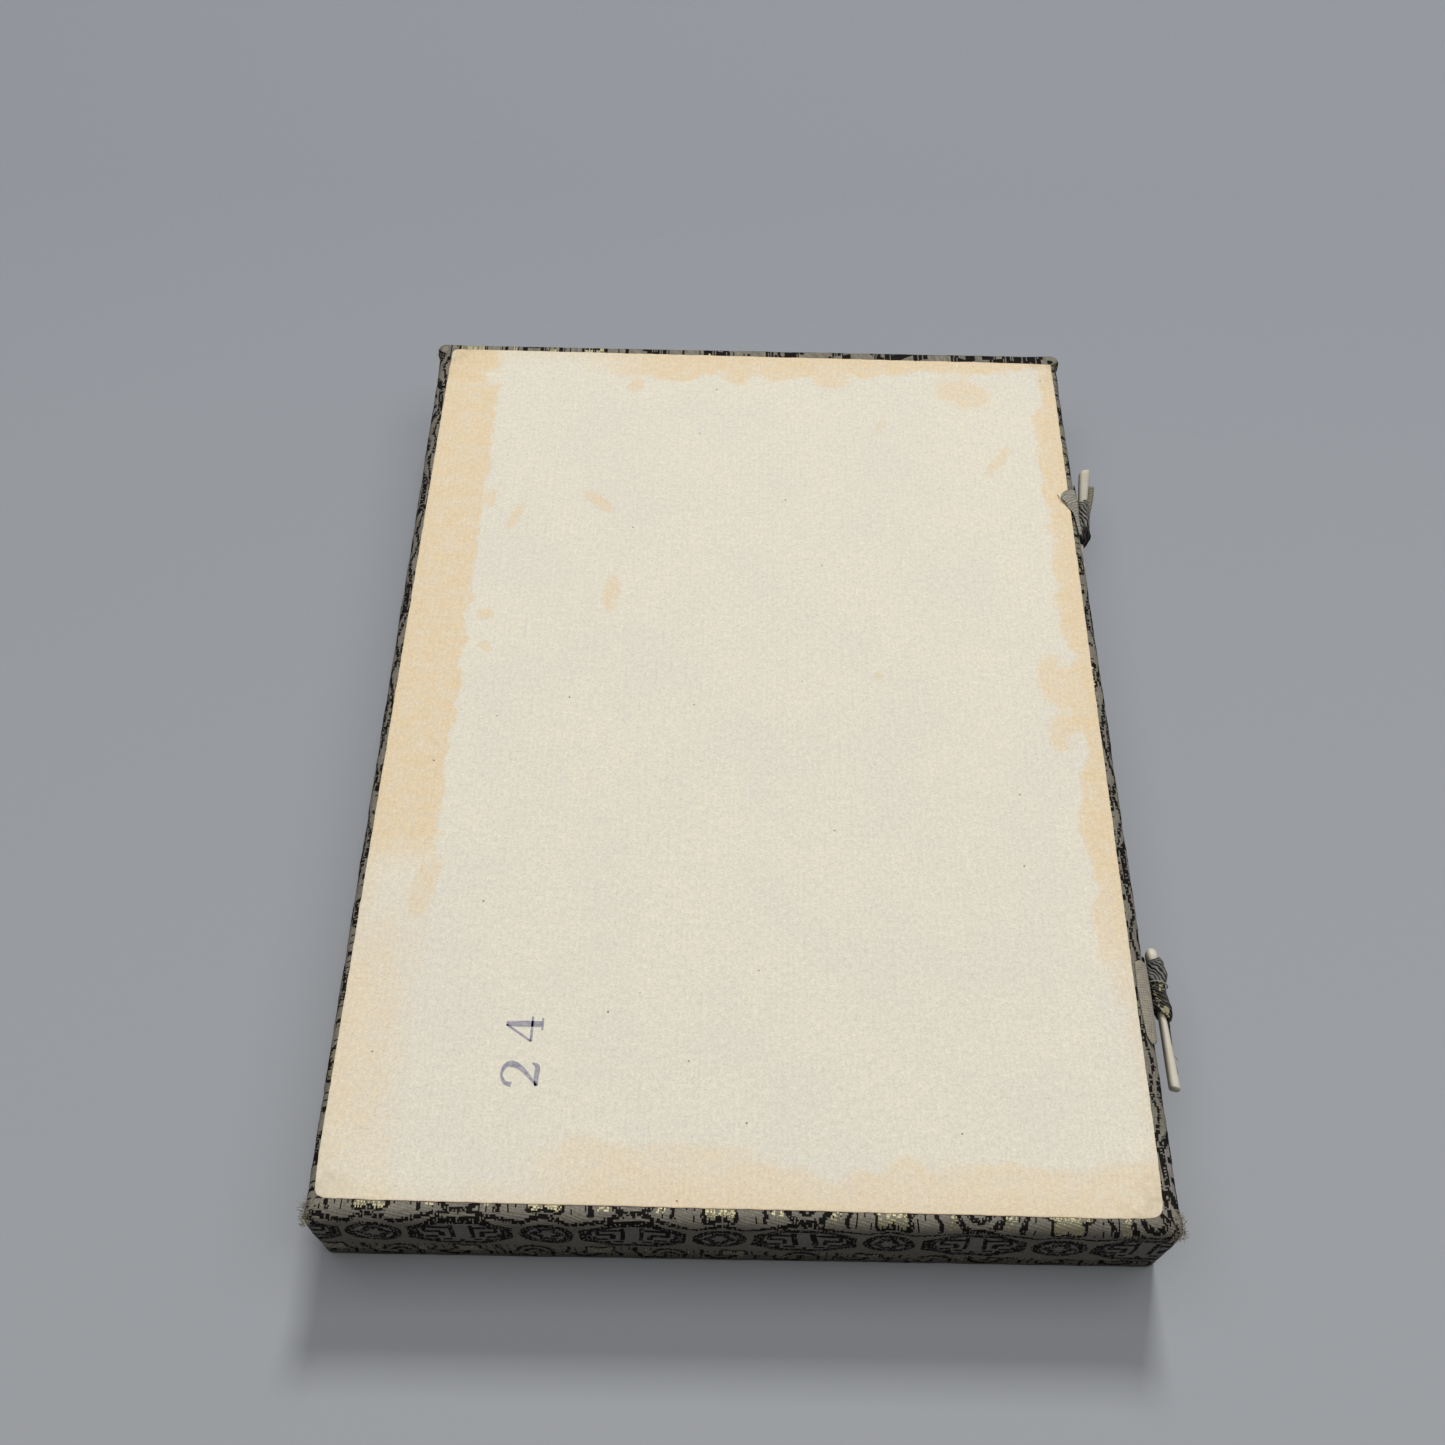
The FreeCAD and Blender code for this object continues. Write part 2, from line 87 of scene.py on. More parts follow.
def millimetres(name, description, default, low=0.0, high=400.0):
    """A size that the panel shows, in millimetres."""
    return FloatProperty(name=name, description=description + ", in mm", default=default,
                         min=low, max=high, precision=2)


def node_box(name):
    """A CAD node's lowest and highest corners at rest, in millimetres."""
    low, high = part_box(name)
    return Vector(low) / MM, Vector(high) / MM


TRAY_LOW, TRAY_HIGH = node_box("tray_cover")
LID_LOW, LID_HIGH = node_box("lid_cover")
PAPER_LOW, PAPER_HIGH = node_box("base_paper")


# ---------------------------------------------------------------- settings
class BrocadeSettings(bpy.types.PropertyGroup):
    """The figured silk that covers the tray and the lid."""
    ground: colour("Ground", "Taupe warp of the ground weave", "#928c86")
    shadow_yarn: colour("Shadow yarn", "Darker yarn of the twill", "#6a6661")
    halo: colour("Halo", "Olive weft between the medallions", "#8b8571")
    figure: colour("Figure", "Black outline yarn", "#141210")
    gold: colour("Gold", "Pale gold weft", "#b5ad88")
    repeat: millimetres("Repeat", "Distance between two large medallions", 30.6, 10, 80)
    row_height: millimetres("Row height", "Distance between two rows of the pattern", 12.2, 5, 40)
    yarn: millimetres("Yarn", "Width of a drawn yarn", 0.27, 0.1, 2)
    corner_radius: millimetres("Corner radius", "Radius of the cloth round an upright corner",
                               1.5, 0.2, 6)
    edge_radius: millimetres("Edge radius", "Radius of the cloth over the base's edge",
                             2.3, 0.2, 3)
    pucker: millimetres("Pucker", "How far the glued cloth stands off its boards", 0.12, 0, 0.5)


class PaperSettings(bpy.types.PropertyGroup):
    """The pasted paper on the base."""
    paper: colour("Paper", "Aged cream paper", "#e3dccb")
    band: colour("Paste stain", "Tan stain over the turned-in cloth", "#e7d0aa")
    foxing: colour("Foxing", "Brown age spots", "#b58f5c")
    edge: colour("Worn edge", "Pinkish brown of the rubbed edge", "#cfa98a")
    ink: colour("Stamp ink", "Faded violet-grey ink", "#8b8899")
    turn_in: millimetres("Turn-in", "Width of the cloth's turn-in under the paper", 14.0, 5, 30)


class ClaspSettings(bpy.types.PropertyGroup):
    """The bone pins with their straps and loops."""
    bone: colour("Bone", "Sawn and polished bone", "#cdc8b9")
    pore: colour("Pores", "Blood channels in the bone", "#a8987c")
    folds: colour("Folds", "Dark yarn in the folds of the straps and loops", "#1b1a18")
    scrim: colour("Scrim", "Grey silk pasted over the border", "#948d83")
    ribbon: millimetres("Ribbon", "Thickness of the doubled ribbon", 0.6, 0.2, 2)


class LiningSettings(bpy.types.PropertyGroup):
    """The silk inside and the boards."""
    silk: colour("Lining silk", "Ivory satin lining", "#e6dcc0")
    silk_shade: colour("Silk shade", "Weft that shows between the satin floats", "#c9bb95")
    board: colour("Greyboard", "Pulped grey board", "#9a9489")
    wadding: colour("Wadding", "Cotton wadding", "#e4dfd2")
    crown: millimetres("Pad crown", "How far the padded floor rises", 0.35, 0, 1)


class StageSettings(bpy.types.PropertyGroup):
    """Floor, lamps and camera."""
    floor: colour("Floor", "Plain grey card under the box", "#95989e")
    lens: FloatProperty(name="Lens", description="Focal length of the camera, in mm",
                        default=37.37, min=10, max=200)
    lamp_power: FloatProperty(name="Softbox power", description="Power of the lamp overhead",
                              default=10.4, min=0, max=500, unit="POWER")
    key_power: FloatProperty(name="Back lamp power", description="Power of the lamp behind",
                             default=72.0, min=0, max=500, unit="POWER")
    sky: FloatProperty(name="Sky", description="Strength of the even light from all round",
                       default=0.05, min=0, max=2)


# ---------------------------------------------------------------- mesh helpers
SIDES = (((1, 0), (0, -1)), ((0, 1), (1, 0)), ((-1, 0), (0, 1)), ((0, -1), (-1, 0)))
CORNER_STEPS = 6


class Outline:
    """Stations round a rectangle with rounded corners, near side first, seen from above."""

    def __init__(self, centre, half_x, half_y, radii, step):
        self.centre, self.half, self.radii = centre, (half_x, half_y), radii
        self.stations = []
        for side in range(4):
            reach = self.half[side % 2]
            start, end = -reach + radii[side - 1], reach - radii[side]
            count = max(2, round((end - start) / step))
            self.stations += [(side, start + (end - start) * k / count, None)
                              for k in range(count + 1)]
            self.stations += [(side, None, (k + 0.5) / CORNER_STEPS)
                              for k in range(CORNER_STEPS)]

    def side_of(self, at):
        """The side that the face after a station belongs to."""
        side, _, turn = self.stations[at]
        return side if turn is None or turn < 0.5 else (side + 1) % 4

    def point(self, at, inset):
        """Where a station lies on the outline moved inwards by inset."""
        side, along, turn = self.stations[at]
        (dx, dy), (ox, oy) = SIDES[side]
        reach, out = self.half[side % 2], self.half[1 - side % 2]
        end = self.radii[side]
        if turn is None:
            low = -(reach - max(self.radii[side - 1], inset))
            along = min(max(along, low), reach - max(end, inset))
            out -= inset
        elif inset < end:
            angle = turn * math.pi / 2
            along = reach - end + (end - inset) * math.sin(angle)
            out += -end + (end - inset) * math.cos(angle)
        else:
            along, out = reach - inset, out - inset
        return Vector((self.centre[0] + dx * along + ox * out,
                       self.centre[1] + dy * along + oy * out, 0.0))


def arc(centre, radius, start, end, steps):
    """Points of a profile on an arc, as (inset, level) pairs; angles in degrees from outwards."""
    found = []
    for k in range(steps + 1):
        angle = math.radians(start + (end - start) * k / steps)
        found.append((centre[0] - radius * math.cos(angle), centre[1] + radius * math.sin(angle)))
    return found


def spaced(profile, gap):
    """The profile with more points wherever two neighbours are further apart than gap."""
    dense = [profile[0]]
    for a, b in zip(profile, profile[1:]):
        count = max(1, math.ceil(math.dist(a, b) / gap))
        dense += [(a[0] + (b[0] - a[0]) * k / count, a[1] + (b[1] - a[1]) * k / count)
                  for k in range(1, count + 1)]
    return dense


def lengths(profile):
    """Distance along the profile at each of its points."""
    total = [0.0]
    for a, b in zip(profile, profile[1:]):
        total.append(total[-1] + math.dist(a, b))
    return total


def new_piece(name, grid, material, turned=True):
    """A piece of the scene from a bmesh drawn in mm, with its finish and smooth faces. The
    faces are turned outward, unless the way they were drawn has to stay."""
    if turned:
        bmesh.ops.recalc_face_normals(grid, faces=grid.faces)
    bmesh.ops.scale(grid, vec=(MM, MM, MM), verts=grid.verts)
    mesh = bpy.data.meshes.new(name)
    grid.to_mesh(mesh)
    grid.free()
    mesh.materials.append(material)
    mesh.polygons.foreach_set("use_smooth", [True] * len(mesh.polygons))
    piece = bpy.data.objects.new(name, mesh)
    bpy.context.scene.collection.objects.link(piece)
    return piece


def thicken(piece, thickness, offset):
    """Gives a lone skin its thickness in mm, on the side that offset says."""
    solid = piece.modifiers.new("thickness", "SOLIDIFY")
    solid.thickness, solid.offset = thickness * MM, offset
    graph = bpy.context.evaluated_depsgraph_get()
    mesh = bpy.data.meshes.new_from_object(piece.evaluated_get(graph), depsgraph=graph)
    piece.modifiers.clear()
    piece.data = mesh


def swept(outline, profile, shape, flat):
    """A skin swept round an outline. shape(point, inset, at) moves a point; flat(side, point,
    inset, length) gives its place on the flat cloth, in mm."""
    grid = bmesh.new()
    columns = len(outline.stations)
    run = lengths(profile)
    rows = []
    for inset, level in profile:
        row = []
        for at in range(columns):
            point = outline.point(at, inset)
            point.z = level
            row.append(grid.verts.new(shape(point, inset, at)))
        rows.append(row)
    cloth = grid.loops.layers.uv.new(CLOTH_MAP)
    for i in range(len(rows) - 1):
        for j in range(columns):
            k = (j + 1) % columns
            corners = ((i, j), (i, k), (i + 1, k), (i + 1, j))
            face = grid.faces.new([rows[a][b] for a, b in corners])
            side = outline.side_of(j)
            for loop, (a, b) in zip(face.loops, corners):
                inset, level = profile[a]
                point = outline.point(b, inset)
                point.z = level
                loop[cloth].uv = flat(side, point, inset, run[a])
    bmesh.ops.remove_doubles(grid, verts=grid.verts, dist=1e-5)
    bmesh.ops.dissolve_degenerate(grid, edges=grid.edges, dist=1e-5)
    return grid


def patch(grid, points, places, cyclic=False):
    """Adds a surface through rows of points to grid, with each point's place on the flat cloth."""
    cloth = grid.loops.layers.uv.get(CLOTH_MAP) or grid.loops.layers.uv.new(CLOTH_MAP)
    rows = [[grid.verts.new(point) for point in row] for row in points]
    for i in range(len(rows) - 1):
        for j in range(len(rows[0]) - (0 if cyclic else 1)):
            k = (j + 1) % len(rows[0])
            corners = ((i, j), (i, k), (i + 1, k), (i + 1, j))
            face = grid.faces.new([rows[a][b] for a, b in corners])
            for loop, (a, b) in zip(face.loops, corners):
                wrapped = cyclic and k == 0 and b == 0
                loop[cloth].uv = places[a][len(rows[0]) if wrapped else b]
    return rows


def sheet(stations, levels, point, place):
    """A lone sheet over two lists of numbers: point and place give where each pair lies on the
    box and on the flat cloth."""
    grid = bmesh.new()
    patch(grid, [[point(a, b) for b in levels] for a in stations],
          [[place(a, b) for b in levels] for a in stations])
    return grid


def tube(grid, path, radii, sides):
    """A round thread or rod through points, as wide as its radii say, closed at both ends."""
    path = [Vector(point) for point in path]
    if not hasattr(radii, "__len__"):
        radii = [radii] * len(path)
    across = None
    rings = []
    for at, point in enumerate(path):
        heading = (path[min(at + 1, len(path) - 1)] - path[max(at - 1, 0)]).normalized()
        if across is None:
            across = heading.orthogonal().normalized()
        across = (across - heading * across.dot(heading)).normalized()
        other = heading.cross(across)
        rings.append([point + (across * math.cos(turn) + other * math.sin(turn)) * radii[at]
                      for turn in (2 * math.pi * k / sides for k in range(sides))])
    run = lengths(path)
    places = [[(radii[i] * 2 * math.pi * k / sides, run[i]) for k in range(sides + 1)]
              for i in range(len(path))]
    rows = patch(grid, rings, places, cyclic=True)
    grid.faces.new(rows[0])
    grid.faces.new(list(reversed(rows[-1])))


def rough(point, size, seed=0.0):
    """Smooth noise from -1 to 1 that changes over a distance of about size mm."""
    return noise.noise(Vector(point) / size + Vector((seed, seed * 1.7, seed * 0.3)))


def smooth(low, high, value):
    """0 below low, 1 above high, and a smooth step between."""
    share = min(max((value - low) / (high - low), 0.0), 1.0)
    return share * share * (3 - 2 * share)


# ---------------------------------------------------------------- materials
def node(tree, kind, inputs=(), output=0, **settings):
    """Adds a node, sets it up and fills or links its inputs. Returns an output, or the node.
    A second word in kind is the node's operation, or its data type."""
    kind, _, mode = kind.partition(" ")
    made = tree.nodes.new("ShaderNode" + kind)
    if mode:
        setattr(made, "data_type" if kind == "Mix" else "operation", mode)
    for name, value in settings.items():
        setattr(made, name, value)
    for key, value in (inputs.items() if isinstance(inputs, dict) else enumerate(inputs)):
        if isinstance(value, bpy.types.NodeSocket):
            tree.links.new(value, made.inputs[key])
        elif value is not None:
            made.inputs[key].default_value = value
    return made if output is None else made.outputs[output]


def new_material(name):
    """An empty material: (material, the node helper on its tree, its surface shader)."""
    material = bpy.data.materials.new(name)
    material.use_nodes = True
    tree = material.node_tree
    tree.nodes.clear()
    shader = node(tree, "BsdfPrincipled", output=None)
    node(tree, "OutputMaterial", {"Surface": shader.outputs[0]}, output=None)
    return material, partial(node, tree), shader


def plug(shader, tone, roughness, bump=None):
    """Links a colour, a roughness and a bump to a surface shader."""
    for name, value in (("Base Color", tone), ("Roughness", roughness), ("Normal", bump)):
        if value is not None:
            shader.id_data.links.new(value, shader.inputs[name])


MATERIALS = {}

# Half sizes of the woven figures, across and down, in mm.
MEDALLION, ROUNDEL, RING, FLOWER = (8.4, 5.9), (4.1, 4.3), (4.1, 4.4), (3.9, 4.9)
# Bars of the key fret in a large medallion, the same on its left and right, in mm from its
# centre: across, half width, down, half height.
KEY_FRET = ((1.75, 0.48, -0.9, 3.6), (4.1, 2.1, -3.3, 0.62), (6.4, 0.42, -1.9, 1.3),
            (4.9, 1.5, -0.7, 0.62), (3.5, 0.48, 0.6, 1.2), (5.4, 1.1, 1.9, 0.64),
            (2.7, 0.9, 3.5, 0.70), (7.0, 0.42, 1.2, 0.9), (0.0, 0.42, 4.3, 0.7),
            (4.6, 0.48, 4.0, 0.8))


def brocade(name, ground, shadow_yarn, halo, figure, gold):
    """Figured silk brocade, woven on a jacquard loom and starched onto board. The black outline
    yarn floats over a taupe twill in steps of one yarn, so that each curve is a row of beads;
    pale gold weft fills the petals. The eye gets a dry, faintly ribbed cloth with a dull gloss."""
    if name in MATERIALS:
        return MATERIALS[name]
    cloth = bpy.context.scene.box_brocade
    material, add, shader = new_material(name)
    half, row = cloth.repeat / 2, cloth.row_height
    # Real yarn is about 0.1 mm; it is drawn 0.27 mm wide and 0.4 mm long so that it shows.
    place = add("UVMap", uv_map=CLOTH_MAP)
    drift = add("TexNoise", {"Vector": place, "Scale": 0.09, "Detail": 1.0}, output=1)
    drift = add("VectorMath SUBTRACT", (drift, (0.5, 0.5, 0.5)))
    drift = add("VectorMath SCALE", {0: drift, "Scale": 2.2})
    place = add("VectorMath ADD", (place, drift))
    woven = add("VectorMath SNAP", (place, (cloth.yarn, 0.4, 1.0)))
    flat = add("SeparateXYZ", (woven,), output=None)
    u, v = flat.outputs[0], flat.outputs[1]
    chance = add("TexWhiteNoise", {"Vector": woven}, noise_dimensions="2D")

    across = add("Math WRAP", (u, half, -half))
    from_large = add("Math ABSOLUTE", (across,))
    from_small = add("Math SUBTRACT", (half, from_large))
    down = add("Math WRAP", (v, 3 * row, -row))
    in_row = add("Math WRAP", (down, row, -row))
    level = add("Math ABSOLUTE", (in_row,))

    # Large medallion: an octagon round a stepped key fret.
    wide = add("Math DIVIDE", (from_large, MEDALLION[0]))
    tall = add("Math DIVIDE", (level, MEDALLION[1]))
    slant = add("Math DIVIDE", (add("Math ADD", (wide, tall)), 1.42))
    octagon = add("Math MAXIMUM", (add("Math MAXIMUM", (wide, tall)), slant))
    solid = []
    for at, half_width, lower, half_height in KEY_FRET:
        across = add("Math COMPARE", (from_large, at, half_width))
        down_row = add("Math COMPARE", (in_row, lower, half_height))
        solid.append(add("Math MULTIPLY", (across, down_row)))

    # Row between: rings and gold flowers by turns, closer together on every other row.
    between = add("Math SUBTRACT", (row, level))
    close = add("Math COMPARE", (down, row, row))
    share = add("Math MULTIPLY_ADD", (close, 0.25, 1.0))
    moved = add("Math WRAP", (add("Math MULTIPLY", (u, share)), half, -half))
    beside = add("Math ABSOLUTE", (moved,))
    from_flower = add("Math SUBTRACT", (half, beside))

    # How far out from the middle of a roundel, a ring and a flower, as a share of its size.
    shares = []
    for aside, below, (wide, tall) in ((from_small, in_row, ROUNDEL), (beside, between, RING),
                                       (from_flower, between, FLOWER)):
        spot = add("VectorMath DIVIDE", (add("CombineXYZ", (aside, below)), (wide, tall, 1.0)))
        shares.append(add("VectorMath LENGTH", (spot,), output=1))
    reach, ring, flower = shares

    # Small roundel: a beaded ring round five petals.
    turn = add("Math MULTIPLY", (add("Math ARCTAN2", (in_row, from_small)), 5.0))
    lobes = add("Math MULTIPLY_ADD", (add("Math COSINE", (turn,)), 0.1, 0.5))
    petal = add("Math MULTIPLY", (add("Math COMPARE", (reach, lobes, 0.18)),
                                  add("Math GREATER_THAN", (reach, 0.2))))

    # Ogee line: a small arch over each roundel, then a slope up to the next medallion.
    squared = add("Math MULTIPLY", (from_small, from_small))
    arch = add("Math MULTIPLY_ADD", (squared, -0.08, 1.1))
    slope = add("Math MULTIPLY_ADD", (from_small, 0.25, -1.2))
    ogee = add("Math ADD", (add("Math MAXIMUM", (arch, slope)), 5.4))
    raised = add("Math MULTIPLY", (in_row, -1.0))
    beaded = [add("Math COMPARE", (octagon, 1.0, 0.125)), add("Math COMPARE", (reach, 1.0, 0.19)),
              petal, add("Math COMPARE", (raised, ogee, 0.45))]

    # Rings, six-petalled flowers and wavy stems of the row between.
    turn = add("Math MULTIPLY", (add("Math ARCTAN2", (between, from_flower)), 6.0))
    petals = add("Math MULTIPLY_ADD", (add("Math COSINE", (turn,)), 0.15, 0.95))
    wave = add("Math SINE", (add("Math MULTIPLY", (v, 0.9)),))
    stem = add("Math MULTIPLY_ADD", (wave, 0.6, half / 2))
    in_between = add("Math LESS_THAN", (between, 4.9))
    beaded += [add("Math COMPARE", (ring, 1.0, 0.14)), add("Math COMPARE", (ring, 0.48, 0.15)),
               add("Math COMPARE", (flower, petals, 0.15))]
    solid.append(add("Math MULTIPLY", (add("Math COMPARE", (beside, stem, 0.42)), in_between)))

    # Short upright dashes stand in files between the rings, each in its own 1.35 x 1.2 mm.
    files = add("VectorMath SNAP", (place, (1.35, 1.2, 1.0)))
    standing = add("TexWhiteNoise", {"Vector": files}, noise_dimensions="2D")
    upright = add("Math COMPARE", (add("Math WRAP", (u, 1.35, 0.0)), 0.5, 0.19))
    upright = add("Math MULTIPLY", (upright, add("Math GREATER_THAN", (standing, 0.5))))
    open_ground = add("Math MULTIPLY", (in_between, add("Math GREATER_THAN", (ring, 1.1))))
    open_ground = add("Math MULTIPLY", (open_ground, add("Math GREATER_THAN", (flower, 1.15))))
    solid.append(add("Math MULTIPLY", (upright, open_ground)))

    # A curve is a row of beads 0.62 mm apart; here and there two beads run together.
    bead = add("Math COMPARE", (add("Math WRAP", (u, 0.31, -0.31)), 0.0, 0.17))
    bead = add("Math MAXIMUM", (bead, add("Math GREATER_THAN", (chance, 0.3))))
    curves = beaded[0]
    for shape in beaded[1:]:
        curves = add("Math MAXIMUM", (curves, shape))
    outline = add("Math MULTIPLY", (curves, bead))
    for shape in solid:
        outline = add("Math MAXIMUM", (outline, shape))
    outline = add("Math MULTIPLY", (outline, add("Math GREATER_THAN", (chance, 0.08))))
    in_flower = add("Math LESS_THAN", (flower, add("Math SUBTRACT", (petals, 0.05))))
    # A small gold seed lies at each side of a ring.
    seed = add("Math MULTIPLY", (add("Math COMPARE", (beside, 0.33 * half, 0.9)),
                                 add("Math LESS_THAN", (between, 3.7))))
    gilt = add("Math MAXIMUM", (in_flower, seed))
    sparse = add("Math MULTIPLY_ADD", (close, 0.3, 0.52))
    fleck = add("Math MULTIPLY", (gilt, add("Math GREATER_THAN", (chance, sparse))))
    framed = add("Math MULTIPLY", (add("Math GREATER_THAN", (octagon, 1.05)),
                                   add("Math GREATER_THAN", (reach, 1.05))))

    # Twill: fine ribs at a low slant, with a change of tone from yarn to yarn. They are
    # drawn 0.56 mm apart, twice as coarse as real ones.
    both = add("SeparateXYZ", (place,), output=None)
    slanted = add("Math MULTIPLY_ADD", (both.outputs[0], -0.2, both.outputs[1]))
    rib = add("Math DIVIDE", (add("Math PINGPONG", (slanted, 0.28)), 0.28))
    fade = add("TexNoise", {"Vector": place, "Scale": 0.12, "Detail": 3.0})
    tone = add("Mix RGBA", {0: add("Math MULTIPLY", (framed, 0.75)), 6: ground, 7: halo}, 2)
    shaded = add("Math MULTIPLY_ADD", (rib, 0.45, add("Math MULTIPLY", (chance, 0.55))))
    tone = add("Mix RGBA", {0: shaded, 6: shadow_yarn, 7: tone}, 2)
    for shape, share, yarn in ((in_flower, 0.6, halo), (outline, 0.97, figure),
                               (fleck, 0.8, gold)):
        tone = add("Mix RGBA", {0: add("Math MULTIPLY", (shape, share)), 6: tone, 7: yarn}, 2)
    worn = add("Math MULTIPLY_ADD", (fade, 0.5, 0.75))
    tone = add("Mix RGBA", {0: 1.0, 6: tone, 7: add("CombineXYZ", (worn, worn, worn))}, 2,
               blend_type="MULTIPLY")
    relief = add("Math MULTIPLY_ADD", (outline, 0.6, add("Math MULTIPLY", (rib, 0.6))))
    relief = add("Math MULTIPLY_ADD", (fleck, 0.7, relief))
    bump = add("Bump", {"Strength": 0.55, "Distance": 0.12 * MM, "Height": relief})
    plug(shader, tone, add("Math MULTIPLY_ADD", (fleck, -0.3, 0.8)), bump)
    material.node_tree.links.new(add("Math MULTIPLY", (fleck, 0.7)), shader.inputs["Metallic"])
    shader.inputs["Specular IOR Level"].default_value = 0.03
    MATERIALS[name] = material
    return material


def cover_cloth():
    """The brocade of the tray, the lid and the hinge."""
    cloth = bpy.context.scene.box_brocade
    return brocade("woven_silk_brocade", cloth.ground, cloth.shadow_yarn, cloth.halo,
                   cloth.figure, cloth.gold)


def lid_cloth():
    """The brocade of the lid: the same cloth, a third darker. The darkening is painted shade for
    the lid's low edge by the table.
    """
    cloth = bpy.context.scene.box_brocade
    tones = [[c * 0.66 for c in tone[:3]] + [1.0] for tone in
             (cloth.ground, cloth.shadow_yarn, cloth.halo, cloth.figure, cloth.gold)]
    return brocade("lid_brocade_painted_shade", *tones)


def reverse_cloth(name, pale, dark, flecked, slant, gauge=0.6):
    """Back of the brocade, torn into bands and folded. Long pale floats run slantwise over the
    black yarn, with cut ends of gold here and there. The eye gets a striped, fibrous, matt
    cloth."""
    if name in MATERIALS:
        return MATERIALS[name]
    cloth = bpy.context.scene.box_brocade
    material, add, shader = new_material(name)
    # Real floats are 0.15 mm wide; they are drawn in stripes of the gauge, in mm.
    place = add("UVMap", uv_map=CLOTH_MAP)
    bent = add("TexNoise", {"Vector": place, "Scale": 0.5, "Detail": 2.0}, output=1)
    bent = add("VectorMath SCALE", {0: bent, "Scale": 1.6})
    place = add("VectorMath ADD", (place, bent))
    turned = add("VectorRotate", {"Vector": place, "Angle": math.radians(slant)},
                 rotation_type="Z_AXIS")
    flat = add("SeparateXYZ", (turned,), output=None)
    stripe = add("Math PINGPONG", (flat.outputs[0], gauge / 2))
    stripe = add("Math MULTIPLY", (stripe, 2 / gauge))
    strand = add("Mapping", {"Vector": turned, "Scale": (3.0, 0.35, 1.0)})
    strand = add("TexNoise", {"Vector": strand, "Scale": 1.0, "Detail": 3.0})
    share = add("Math MULTIPLY_ADD", (stripe, 0.8, strand))
    share = add("MapRange", (share, 0.62, 1.3, 0.0, 1.0))
    cells = add("VectorMath SNAP", (place, (0.42, 0.5, 1.0)))
    chance = add("TexWhiteNoise", {"Vector": cells}, noise_dimensions="2D")
    patches = add("TexNoise", {"Vector": place, "Scale": 0.45, "Detail": 1.0})
    fleck = add("Math MULTIPLY", (add("Math LESS_THAN", (chance, flecked)),
                                  add("Math GREATER_THAN", (patches, 0.5))))
    tone = add("Mix RGBA", {0: share, 6: dark, 7: pale}, 2)
    tone = add("Mix RGBA", {0: add("Math MULTIPLY", (fleck, 0.75)), 6: tone, 7: cloth.gold}, 2)
    relief = add("Math MULTIPLY_ADD", (fleck, 0.6, share))
    bump = add("Bump", {"Strength": 0.6, "Distance": 0.15 * MM, "Height": relief})
    plug(shader, tone, add("Math MULTIPLY_ADD", (share, -0.1, 0.85)), bump)
    shader.inputs["Specular IOR Level"].default_value = 0.08
    MATERIALS[name] = material
    return material


def scrim_cloth():
    """Open plain weave of grey silk, pasted flat over the border. Warp and weft stand 0.45 mm
    apart, a little coarser than real ones. The eye gets a fine pale grid."""
    clasp = bpy.context.scene.box_clasp
    material, add, shader = new_material("plain_woven_grey_silk")
    place = add("UVMap", uv_map=CLOTH_MAP)
    flat = add("SeparateXYZ", (place,), output=None)
    warp = add("Math PINGPONG", (flat.outputs[0], 0.24))
    weft = add("Math PINGPONG", (flat.outputs[1], 0.26))
    gap = add("Math MINIMUM", (warp, add("Math MULTIPLY", (weft, 0.6))))
    gap = add("MapRange", (gap, 0.0, 0.09, 1.0, 0.0))
    cloud = add("TexNoise", {"Vector": place, "Scale": 0.8, "Detail": 3.0})
    tone = add("Mix RGBA", {0: add("MapRange", (cloud, 0.35, 0.65, 0.0, 1.0)),
                            6: clasp.scrim, 7: linear("#a79f8c")}, 2)
    open_gap = add("Math MULTIPLY", (gap, 0.5))
    tone = add("Mix RGBA", {0: open_gap, 6: tone, 7: linear("#57504a")}, 2)
    bump = add("Bump", {"Strength": 0.4, "Distance": 0.1 * MM, "Height": gap}, invert=True)
    plug(shader, tone, add("MapRange", (cloud, 0.0, 1.0, 0.98, 0.9)), bump)
    shader.inputs["Specular IOR Level"].default_value = 0.08
    return material


